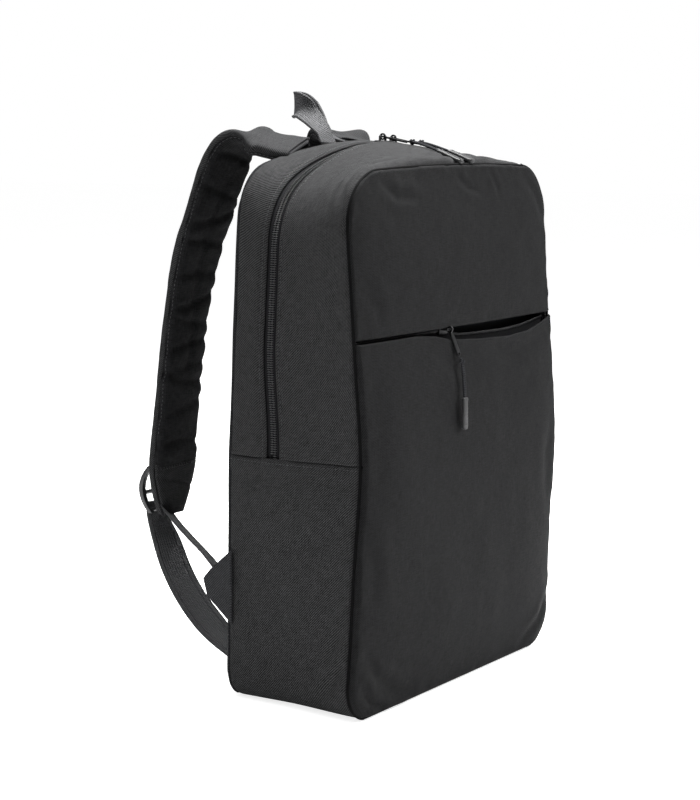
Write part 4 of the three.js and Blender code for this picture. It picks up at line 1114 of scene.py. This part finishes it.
def strap_wrap(ribbon, half):
    """The outer cloth: it covers the far face and turns over both edges."""
    section = [(-0.955, 0.0010), (-0.985, 0.0013), (-1.01, 0.0007), (-1.02, -0.0008), (-1.01, -0.0026),
               (-0.98, -0.0040), (-0.92, -0.0050), (-0.85, -0.0054), (-0.7, -0.0057), (-0.45, -0.0059),
               (-0.2, -0.0060)]
    section = section + [(0.0, -0.0060)] + [(-u, out) for u, out in section[::-1]]
    across = np.array([u for u, _ in section])[None] * half[:, None]
    out = np.array([o for _, o in section])[None] * np.ones_like(across)
    points = ribbon.place(across, out)
    ripple = 0.0007 * fractal(points, (0.05, 0.02, 0.02), 71, 2)
    return ribbon.place(across, out * (1 + 0.08 * np.sign(out)) + np.sign(out) * ripple)


def strap_face(ribbon, half, shape):
    u = spaced(-0.975, 0.975, 40, 0.75)
    folds = strap_wrinkles(ribbon, u)
    across = u[None] * (half[:, None] + 0.8 * folds)
    edge = rounded_edge((0.975 - np.abs(u))[None] * half[:, None], 0.0050)
    out = 0.0006 + 0.86 * edge + shape.strap_puff * (1 - np.abs(u / 0.975) ** 3)[None]
    out = out + folds * (1 - np.abs(u / 0.975) ** 8)[None]
    points = ribbon.place(across, out)
    out = out + 0.0007 * fractal(points, (0.02, 0.02, 0.012), 73, 3)
    out = out - 0.0030 * smoothstep((ribbon.run - ribbon.length + STRAP_CAP - 0.003) / 0.004)[:, None]
    return Surface(ribbon.place(across, out), ribbon.run, u, 1)


def strap_cap(ribbon, half):
    """The stitched patch that closes the lower end of the strap, on the face towards the bag."""
    rows = ribbon.run >= ribbon.length - STRAP_CAP
    u = spaced(-1.0, 1.0, 26, 0.4)
    across = u[None] * half[rows][:, None]
    from_top = (ribbon.run[rows] - (ribbon.length - STRAP_CAP))[:, None]
    out = (0.0073 - 0.0034 * np.abs(u)[None] ** 5 - 0.0006 * bell(from_top, 0.0012)
           - 0.0006 * bell(from_top - 0.004, 0.001))
    out = out - 0.0009 * bell(from_top - 0.012 - 0.014 * (u[None] + 1) / 2, 0.0016)
    points = (ribbon.centre[rows][:, None] + across[..., None] * ribbon.width[rows][:, None]
              + out[..., None] * ribbon.normal[rows][:, None])
    return Surface(points, ribbon.run[rows], u, 1)


def web_object(name, ribbon, width, wall, material, side, curl=0.0006):
    u = np.linspace(-1, 1, 9)
    across = np.broadcast_to(u * width / 2, (len(ribbon.run), 9))
    out = wall / 2 + curl * (1 - u ** 2) - curl * 0.6
    edge = 0.0004 * (np.abs(u) == 1)
    out = np.broadcast_to(out - edge, across.shape)
    points = mirror(ribbon.place(across, out), side)
    return sheet_object(name, points, wall, material, flip=side > 0)


def twisted_tail(ribbon):
    """The width of the free webbing turns to face outwards as it leaves the lock."""
    rests = smoothstep((ribbon.run - 0.105) / 0.055)
    turn = smoothstep((ribbon.run - 0.005) / 0.05) * (1 - rests) * math.radians(38)
    width = ribbon.width * np.cos(turn)[:, None] + ribbon.normal * np.sin(turn)[:, None]
    ribbon.width = unit(width)
    ribbon.normal = np.cross(ribbon.tangent, ribbon.width)
    return ribbon


# ---- Cords of the zip pulls ----
PULLS = {
    "main_left": dict(
        cord="main_pull_cord_left", end="main_cord_end_left", tab="main_tab_left", body="left_main_pull",
        line=[(0.0078, -0.0086, 0.4386), (0.0074, -0.013, 0.438), (0.0068, -0.018, 0.4371),
              (0.0062, -0.024, 0.4356), (0.0054, -0.030, 0.4338), (0.0046, -0.0355, 0.4322),
              (0.0042, -0.0384, 0.4313)], beside=(0.0021, 0.0, 0.0003)),
    "main_right": dict(
        cord="main_pull_cord_right", end="main_cord_end_right", tab="main_tab_right", body="right_main_pull",
        line=[(0.0239, -0.0087, 0.438), (0.0237, -0.013, 0.4374), (0.0233, -0.018, 0.4365),
              (0.0228, -0.024, 0.435), (0.0222, -0.030, 0.4333), (0.0216, -0.0355, 0.4317),
              (0.0212, -0.0384, 0.4309)], beside=(-0.0021, 0.0, 0.0003)),
    "pocket": dict(
        cord="pocket_pull_cord", end="pocket_cord_end", tab="pocket_tab", body="pocket_pull",
        line=[(-0.0127, -0.0703, 0.2673), (-0.0122, -0.0712, 0.262), (-0.012, -0.072, 0.256),
              (-0.012, -0.0726, 0.250), (-0.0121, -0.0731, 0.244), (-0.0122, -0.0735, 0.239),
              (-0.0122, -0.0737, 0.2363)], beside=(0.0021, 0.0, 0.0)),
}
CORD_DIAMETER = 0.002
RIDGE_COUNT, RIDGE_PITCH, RIDGE_OUT = 7, 0.0026, 0.00165


def knot_points(centre, size, along):
    """A trefoil, pulled out along the cord: the shape of an overhand knot."""
    t = np.linspace(0, 2 * math.pi, 60, endpoint=False)
    shape = np.stack([np.sin(t) + 2 * np.sin(2 * t), np.cos(t) - 2 * np.cos(2 * t), -1.2 * np.sin(3 * t)], -1)
    turn = Vector((0, 0, 1)).rotation_difference(Vector(along)).to_matrix()
    return np.asarray(centre) + size * shape @ np.array(turn).T


# ---- Settings ----
class BackpackShape(bpy.types.PropertyGroup):
    fabric_wall: FloatProperty(
        name="Fabric wall", description="Thickness of the shell's cloth with its backing",
        default=0.002, min=0.0005, max=0.004, subtype="DISTANCE", unit="LENGTH")
    top_puff: FloatProperty(
        name="Top puff", description="How far the top stands up behind the front seam",
        default=0.0062, min=0.0, max=0.012, subtype="DISTANCE", unit="LENGTH")
    lip_sag: FloatProperty(
        name="Lip sag", description="How far the unzipped lip of the front pocket hangs down",
        default=0.0115, min=0.0, max=0.02, subtype="DISTANCE", unit="LENGTH")
    strap_puff: FloatProperty(
        name="Strap puff", description="How far the inner face of each strap swells",
        default=0.0028, min=0.0, max=0.006, subtype="DISTANCE", unit="LENGTH")
    tooth_pitch: FloatProperty(
        name="Tooth pitch", description="Distance between the teeth of the zips",
        default=0.0018, min=0.0005, max=0.004, subtype="DISTANCE", unit="LENGTH")
    stitch_pitch: FloatProperty(
        name="Stitch pitch", description="Distance between the stitches",
        default=0.0034, min=0.001, max=0.01, subtype="DISTANCE", unit="LENGTH")


class BackpackCloth(bpy.types.PropertyGroup):
    twill_threads: FloatProperty(
        name="Twill threads", description="Threads in one metre of the side cloth", default=960.0, min=100.0)
    plain_threads: FloatProperty(
        name="Plain threads", description="Threads in one metre of the front cloth",
        default=1100.0, min=100.0)
    seed: IntProperty(name="Seed", description="Start value of the stitches' unevenness", default=5)


class BackpackStage(bpy.types.PropertyGroup):
    camera_place: FloatVectorProperty(
        name="Camera", description="Where the camera stands", default=(-1.389, -0.868, 0.447),
        size=3, subtype="XYZ", unit="LENGTH")
    camera_turn: FloatProperty(
        name="Azimuth", description="Direction of view round the upright axis",
        default=math.radians(-56.72), subtype="ANGLE", unit="ROTATION")
    camera_tilt: FloatProperty(
        name="Tilt", description="How far the view looks down", default=math.radians(7.65),
        subtype="ANGLE", unit="ROTATION")
    ambient: FloatProperty(name="Ambient", description="Strength of the light from all round", default=0.22)
    lens: FloatProperty(name="Lens", description="Focal length in millimetres", default=90.1, min=10.0)


class PieceBuilder:
    """Runs one build step; any fault stops it with an error."""
    bl_options = {"REGISTER", "UNDO"}

    def execute(self, context):
        self.build(context.scene)
        return {"FINISHED"}


class BACKPACK_OT_stage(PieceBuilder, bpy.types.Operator):
    """Add the floor, the lights and the camera"""
    bl_idname = "backpack.stage"
    bl_label = "Stage"

    def build(self, scene):
        settings = scene.backpack_stage
        a, t = settings.camera_turn, settings.camera_tilt
        look = Vector((-math.sin(a) * math.cos(t), math.cos(a) * math.cos(t), -math.sin(t)))
        camera = link(bpy.data.objects.new("Camera", bpy.data.cameras.new("Camera")))
        camera.data.lens = settings.lens
        camera.data.sensor_width = 36
        camera.data.clip_start, camera.data.clip_end = 0.05, 50
        camera.location = settings.camera_place
        camera.rotation_euler = look.to_track_quat("-Z", "Y").to_euler()
        scene.camera = camera

        floor = bpy.data.meshes.new("Floor")
        reach = 12.0
        floor.from_pydata([(-reach, -reach, 0), (reach, -reach, 0), (reach, reach, 0), (-reach, reach, 0)],
                          [], [(0, 1, 2, 3)])
        floor = link(bpy.data.objects.new("Floor", floor))
        dress(floor, "floor")

        world = bpy.data.worlds.new("Studio")
        world.use_nodes = True
        tree = Tree(world.node_tree)
        seen = tree.add("ShaderNodeLightPath").outputs["Is Camera Ray"]
        strength = tree.math("MULTIPLY_ADD", seen, 1.0 - settings.ambient, settings.ambient)
        tree.join(strength, world.node_tree.nodes["Background"].inputs["Strength"])
        world.node_tree.nodes["Background"].inputs["Color"].default_value = (1.0, 1.0, 1.0, 1)
        scene.world = world
        scene.view_settings.view_transform = "Standard"
        aim = Vector((0, 0, 0.22))
        for name, place, size, power in (
                ("Key", (0.75, -0.7, 1.15), 0.6, 22.0),
                ("Side", (-1.5, 0.2, 2.0), 1.0, 15.0),
                ("Top", (0.2, 0.1, 1.6), 0.8, 55.0)):
            light = link(bpy.data.objects.new(name, bpy.data.lights.new(name, "AREA")))
            light.data.energy = power
            light.data.size = size
            light.location = place
            light.rotation_euler = (aim - Vector(place)).to_track_quat("-Z", "Y").to_euler()


class BACKPACK_OT_pulls(PieceBuilder, bpy.types.Operator):
    """Add the cords, knots and moulded ends of the zip pulls"""
    bl_idname = "backpack.pulls"
    bl_label = "Zip Pulls"

    def build(self, scene):
        for key, pull in PULLS.items():
            line = catmull(pull["line"], 60)
            along = unit(line[8] - line[0])
            cord = tube_object(f"{key}_cord", line, CORD_DIAMETER / 2, "cord", sides=12)
            seat(cord, pull["body"], "pull_cord", pull["cord"])
            beside = np.array(pull["beside"])
            t = np.linspace(0, 1, len(line))[:, None]
            strand = tube_object(f"{key}_strand", line + beside * (0.5 + 0.5 * np.sin(math.pi * t)),
                                 CORD_DIAMETER / 2, "cord", sides=12)
            seat(strand, pull["body"], "pull_cord")
            knot = tube_object(f"{key}_knot", knot_points(line[6] + beside * 0.5, 0.00062, along),
                               CORD_DIAMETER * 0.45, "cord", closed=True, sides=10)
            seat(knot, pull["body"], "pull_cord")
            end = rounded_copy(f"{key}_grip", pull["end"], 0.0011, "rubber", segments=4)
            seat(end, pull["body"], "pull_rubber", pull["end"])
            self.grip_ridges(key, pull)

    def grip_ridges(self, key, pull):
        """Raised ridges across the moulded end, on both of its broad faces."""
        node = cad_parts[pull["end"]]
        points = np.array([v.co for v in node.data.vertices])
        centre = points.mean(0)
        axes = np.linalg.svd(points - centre, full_matrices=False)[2]
        along, across, out = axes
        lines = []
        for face in (-1, 1):
            for k in range(RIDGE_COUNT):
                middle = centre + along * (k - RIDGE_COUNT // 2) * RIDGE_PITCH + out * face * RIDGE_OUT
                lines.append(([middle - across * 0.0001, middle + across * 0.0001], out * face))
        ridges = row_object(f"{key}_ridges", lines, "rubber", Pitch=0.01, Length=0.0046, Width=0.0009,
                            Height=0.0009, Jitter=0.0)
        ridges.parent = bpy.data.objects[f"{key}_grip"]


class BACKPACK_OT_shell(PieceBuilder, bpy.types.Operator):
    """Add the side bands, the base and the front panels"""
    bl_idname = "backpack.shell"
    bl_label = "Shell"

    def build(self, scene):
        shape = scene.backpack_shape
        wall = shape.fabric_wall
        self.front, self.rear, self.base = front_gusset(shape), rear_gusset(), lower_band()
        for name, surface, node in (("side_band_front", self.front, "gusset_front_band"),
                                    ("side_band_rear", self.rear, "gusset_rear_band")):
            band = sheet_object(name, surface.points, wall, "twill")
            seat(band, "bag", "shell_twill", node)
        base = sheet_object("side_band_lower", self.base.points, wall, "twill", flip=True)
        seat(base, "bag", "shell_twill", "lower_band")
        lower, upper = front_lower(shape), front_upper()
        for name, surface, node in (("front_cloth_lower", lower, "front_panel_lower"),
                                    ("front_cloth_upper", upper, "front_panel_upper")):
            panel = sheet_object(name, surface.points, wall, "panel", flip=True)
            seat(panel, "bag", "front_weave", node)
        # A near-black cord just outside the front seam: painted shade standing in for the shadow in the seam
        # groove
        for part, line in (("upper", upper_points(FRONT_Y, 0.0002)),
                           ("lower", lower_points(FRONT_Y, 0.0002))):
            line[:, 2] = np.maximum(line[:, 2], SEAM_LOWEST)
            cord = tube_object(f"front_seam_{part}", line - np.array([0, 0.0004, 0]), 0.0012, "seam", sides=8)
            seat(cord, "bag", "shell_twill")
        self.stitches(scene)

    def stitches(self, scene):
        edge = 0.0034
        last = self.base.u[-1]
        slot_front = self.front.column_line(ZIP_Y - SLOT_HALF - edge)
        slot_rear = self.rear.column_line(ZIP_Y + SLOT_HALF + edge)
        hems = [self.base.row_line(edge + 0.0002), self.base.row_line(last - edge - 0.0002)]
        rows = row_object("shell_stitches", [slot_front, slot_rear, *hems], "thread",
                          seed=scene.backpack_cloth.seed, Pitch=scene.backpack_shape.stitch_pitch,
                          Length=0.0025, Width=0.0006, Height=0.0005, Jitter=0.12)
        seat(rows, "bag", "shell_twill")


class BACKPACK_OT_back(PieceBuilder, bpy.types.Operator):
    """Add the padded back"""
    bl_idname = "backpack.back"
    bl_label = "Padded Back"

    def build(self, scene):
        surface = back_surface()
        back = sheet_object("back_padding", surface.points, scene.backpack_shape.fabric_wall, "mesh")
        seat(back, "bag", "back_mesh", "back_panel")


class BACKPACK_OT_zips(PieceBuilder, bpy.types.Operator):
    """Add the zip tapes, their teeth and the sliders"""
    bl_idname = "backpack.zips"
    bl_label = "Zips"

    def build(self, scene):
        pitch = scene.backpack_shape.tooth_pitch
        for name, side in (("front", -1), ("rear", 1)):
            self.main_side(name, side, pitch)
        self.pocket(pitch, scene.backpack_shape.lip_sag)
        for place in ("main_slider_left", "main_slider_right", "pocket_slider"):
            body = {"main_slider_left": "left_main_slider", "main_slider_right": "right_main_slider",
                    "pocket_slider": "pocket_zip_slider"}[place]
            slider = rounded_copy(f"{place}_body", place, 0.00035, "metal")
            seat(slider, body, "slider_metal", place)
        for pull in PULLS.values():
            tab = rounded_copy(f"{pull['tab']}_plate", pull["tab"], 0.00032, "metal")
            seat(tab, pull["body"], "slider_metal", pull["tab"])

    def main_side(self, name, side, pitch):
        ys = np.linspace(ZIP_Y + side * 0.0002, ZIP_Y + side * 0.0152, 8)
        points = np.stack([upper_points(y, 0.0025) for y in ys], 1)
        tape = sheet_object(f"main_tape_{name}", points, 0.0008, "tape", flip=side < 0)
        seat(tape, "bag", "zip_tape", f"main_zip_tape_{name}")
        line = upper_points(ZIP_Y + side * 0.0014, 0.0018)
        inner = upper_points(ZIP_Y + side * 0.0014, 0.0030)
        start = 2 if side > 0 else 0
        teeth = row_object(f"main_teeth_{name}", [(line[start:], unit(line - inner)[start:])], "coil",
                           Pitch=pitch, Length=0.0011, Width=0.0029, Height=0.0015, Jitter=0.0)
        seat(teeth, "bag", "zip_coil", f"main_zip_coil_{name}")
        cords = [upper_points(ZIP_Y + side * 0.0034, 0.0022)]
        welt = tube_object(f"main_welt_{name}", cords[0], 0.00045, "tape", sides=6)
        seat(welt, "bag", "zip_tape")

    def pocket(self, pitch, sag):
        half, y = 0.1454, FRONT_Y + 0.0036
        x = np.linspace(-half, half, 120)
        open_share = smoothstep((x + 0.024) / 0.03)
        drop = lip_drop(x, sag) * 0.62 * open_share
        for name, side in (("upper", 1), ("lower", -1)):
            hang_down = drop if side < 0 else -0.0012 * open_share
            rows = []
            for w in np.linspace(0, 1, 6):
                z = SLIT_Z + side * (0.0002 + 0.015 * w) - hang_down * (1 - 0.5 * w)
                rows.append(np.stack([x, np.full_like(x, y) - 0.0014 * open_share * (1 - w), z], -1))
            points = np.stack(rows, 1)
            tape = sheet_object(f"pocket_tape_{name}", points, 0.0008, "tape", flip=side > 0)
            seat(tape, "bag", "zip_tape", f"pocket_zip_tape_{name}")
            line = points[:, 0] + np.array([0, -0.0007, side * 0.0012])
            teeth = row_object(f"pocket_teeth_{name}", [(line, (0.0, -1.0, 0.0))], "coil", Pitch=pitch,
                               Length=0.0011, Width=0.0029, Height=0.0015, Jitter=0.0)
            seat(teeth, "bag", "zip_coil", f"pocket_zip_coil_{name}")


class BACKPACK_OT_handle(PieceBuilder, bpy.types.Operator):
    """Add the webbing grab handle"""
    bl_idname = "backpack.handle"
    bl_label = "Grab Handle"

    def build(self, scene):
        ribbon = Ribbon(HANDLE_LINE, HANDLE_ACROSS, 90)
        handle = web_object("handle_loop", ribbon, HANDLE_WEB, WEB_WALL, "webbing", -1)
        seat(handle, "handle", "webbing", "grab_handle")


class BACKPACK_OT_straps(PieceBuilder, bpy.types.Operator):
    """Add both padded shoulder straps with their end caps"""
    bl_idname = "backpack.straps"
    bl_label = "Shoulder Straps"

    def build(self, scene):
        shape = scene.backpack_shape
        ribbon = strap_ribbon()
        half = strap_half(ribbon)
        face = strap_face(ribbon, half, shape)
        cap = strap_cap(ribbon, half)
        wrap = strap_wrap(ribbon, half)
        u = np.linspace(-0.9, 0.9, 9)
        filling = ribbon.place(u[None] * half[:, None], np.zeros((len(half), 9)))
        for name, side in SIDES:
            start = mirror(np.array(STRAP_BEND_START), side)
            end = mirror(np.array(STRAP_BEND_END), side)
            across = ("bag", f"{name}_strap", start, end)
            outer = sheet_object(f"strap_cloth_{name}", mirror(wrap, side), STRAP_WALL, "strap",
                                 flip=side < 0)
            hang(outer, *across, "shell_twill", f"strap_outer_{name}", f"strap_binding_{name}")
            inner = sheet_object(f"strap_padding_{name}", mirror(face.points, side), STRAP_WALL, "padding",
                                 flip=side > 0)
            hang(inner, *across, "back_mesh", f"strap_lining_{name}")
            foam = sheet_object(f"strap_filling_{name}", mirror(filling, side), 0.0030, "foam", flip=side > 0)
            hang(foam, *across, "foam", f"strap_foam_{name}")
            patch = sheet_object(f"strap_patch_{name}", mirror(cap.points, side), STRAP_WALL, "strap",
                                 flip=side > 0)
            hang(patch, *across, "shell_twill", f"strap_end_cap_{name}")
            self.stitches(name, side, face, cap, scene, across)

    def stitches(self, name, side, face, cap, scene, across):
        lines = []
        for v in (face.v[0] * 0.975, face.v[-1] * 0.975):
            points, out = face.column_line(v, 4, -34)
            lines.append((mirror(points + out * 0.0002, side), mirror(out, side)))
        for u in (cap.u[0] + 0.004, cap.u[0] + 0.0052):
            points, out = cap.row_line(u)
            lines.append((mirror(points[1:-1], side), mirror(out[1:-1], side)))
        rows = row_object(f"strap_stitches_{name}", lines, "thread", seed=scene.backpack_cloth.seed + 1,
                          Pitch=scene.backpack_shape.stitch_pitch, Length=0.0024, Width=0.0006,
                          Height=0.0005, Jitter=0.1)
        hang(rows, *across, "shell_twill")


class BACKPACK_OT_webbing(PieceBuilder, bpy.types.Operator):
    """Add the adjusting webbing, the ladder locks and the wings that hold them"""
    bl_idname = "backpack.webbing"
    bl_label = "Webbing"

    def build(self, scene):
        for name, side in SIDES:
            self.load(name, side)
            self.tail(name, side)
            lock = rounded_copy(f"lock_{name}", f"ladder_lock_{name}", 0.0009, "plastic", segments=4)
            seat(lock, f"{name}_ladder_lock", "lock_plastic", f"ladder_lock_{name}")
            loop = rounded_copy(f"loop_{name}", f"lock_loop_{name}", 0.0003, "loop")
            seat(loop, f"{name}_strap", "webbing", f"lock_loop_{name}")
            wing = rounded_copy(f"wing_{name}", f"strap_wing_{name}", 0.0012, "wing", segments=4)
            seat(wing, "bag", "shell_twill", f"strap_wing_{name}")

    def load(self, name, side):
        ribbon = Ribbon(LOAD_LINE, LOAD_ACROSS, 80)
        piece = web_object(f"load_web_{name}", ribbon, LOAD_WEB, WEB_WALL, "webbing", side)
        near = mirror(np.array(LOAD_LINE[0]), side)
        far = mirror(np.array(LOAD_LINE[-1]), side)
        hang(piece, "bag", f"{name}_strap", near, far, "webbing", f"load_webbing_{name}")

    def tail(self, name, side):
        ribbon = twisted_tail(Ribbon(TAIL_LINE, [(1, 0, 0)] * len(TAIL_LINE), 120))
        piece = web_object(f"tail_web_{name}", ribbon, TAIL_WEB, WEB_WALL, "webbing", side)
        path = mirror(ribbon.centre, side)
        hang(piece, "bag", f"{name}_strap", path[-1], path[0], "webbing", f"tail_webbing_{name}")


class BACKPACK_OT_interior(PieceBuilder, bpy.types.Operator):
    """Give the pieces inside the bag their cloth and foam"""
    bl_idname = "backpack.interior"
    bl_label = "Interior"

    def build(self, scene):
        self.front_lining()
        finishes = {"back_lining": "lining", "laptop_sleeve": "lining",
                    "rear_seam_binding": "tape_solid",
                    "sleeve_binding": "tape_solid", "back_foam": "foam"}
        for node, finish in finishes.items():
            dress(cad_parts[node], finish)

    def front_lining(self):
        """The lining behind the pocket and the bound front seam follow the leaning front."""
        y, inset = FRONT_Y + 0.0112, 0.0042
        s = outline_at(y)
        z = spaced(inset, s["corner_top"] - 0.002, 40, 0.3)
        x = np.linspace(-1, 1, 30)[None] * (half_width_at(s, z) - inset)[:, None]
        lift = arch_at(s, x, z[:, None] * np.ones_like(x)) - 0.001
        points = np.stack([x + lean(y, lift), np.full_like(x, y), lift], -1)
        lining = sheet_object("pocket_lining", points, 0.0012, "lining", flip=True)
        seat(lining, "bag", "lining", "front_lining")
        ys = np.linspace(FRONT_Y + 0.0012, FRONT_Y + 0.0092, 4)
        for name, pointer in (("upper", upper_points), ("lower", lower_points)):
            rows = np.stack([pointer(y, 0.0046) for y in ys], 1)
            binding = sheet_object(f"seam_binding_{name}", rows, 0.0010, "tape_solid", flip=name == "lower")
            seat(binding, "bag", "lining", "front_seam_binding")


class BACKPACK_PT_panel(bpy.types.Panel):
    """Buttons for each step and the sizes they use"""
    bl_label = "School Backpack"
    bl_space_type = "VIEW_3D"
    bl_region_type = "UI"
    bl_category = "Backpack"

    def draw(self, context):
        layout = self.layout
        for step in STEPS:
            layout.operator(step.bl_idname)
        scene = context.scene
        for group in (scene.backpack_shape, scene.backpack_cloth, scene.backpack_stage):
            for name in group.__annotations__:
                layout.prop(group, name)


STEPS = (BACKPACK_OT_stage, BACKPACK_OT_pulls, BACKPACK_OT_shell, BACKPACK_OT_back, BACKPACK_OT_zips,
         BACKPACK_OT_handle, BACKPACK_OT_straps, BACKPACK_OT_webbing, BACKPACK_OT_interior)
CLASSES = (BackpackShape, BackpackCloth, BackpackStage, *STEPS, BACKPACK_PT_panel)


def register():
    for item in CLASSES:
        bpy.utils.register_class(item)
    bpy.types.Scene.backpack_shape = PointerProperty(type=BackpackShape)
    bpy.types.Scene.backpack_cloth = PointerProperty(type=BackpackCloth)
    bpy.types.Scene.backpack_stage = PointerProperty(type=BackpackStage)


def unregister():
    del bpy.types.Scene.backpack_stage
    del bpy.types.Scene.backpack_cloth
    del bpy.types.Scene.backpack_shape
    for item in reversed(CLASSES):
        bpy.utils.unregister_class(item)


def main():
    register()
    make_materials(bpy.context.scene.backpack_cloth)
    ROWS["row"] = row_group()
    for step in STEPS:
        category, name = step.bl_idname.split(".")
        getattr(getattr(bpy.ops, category), name)()


if __name__ == "__main__":
    main()
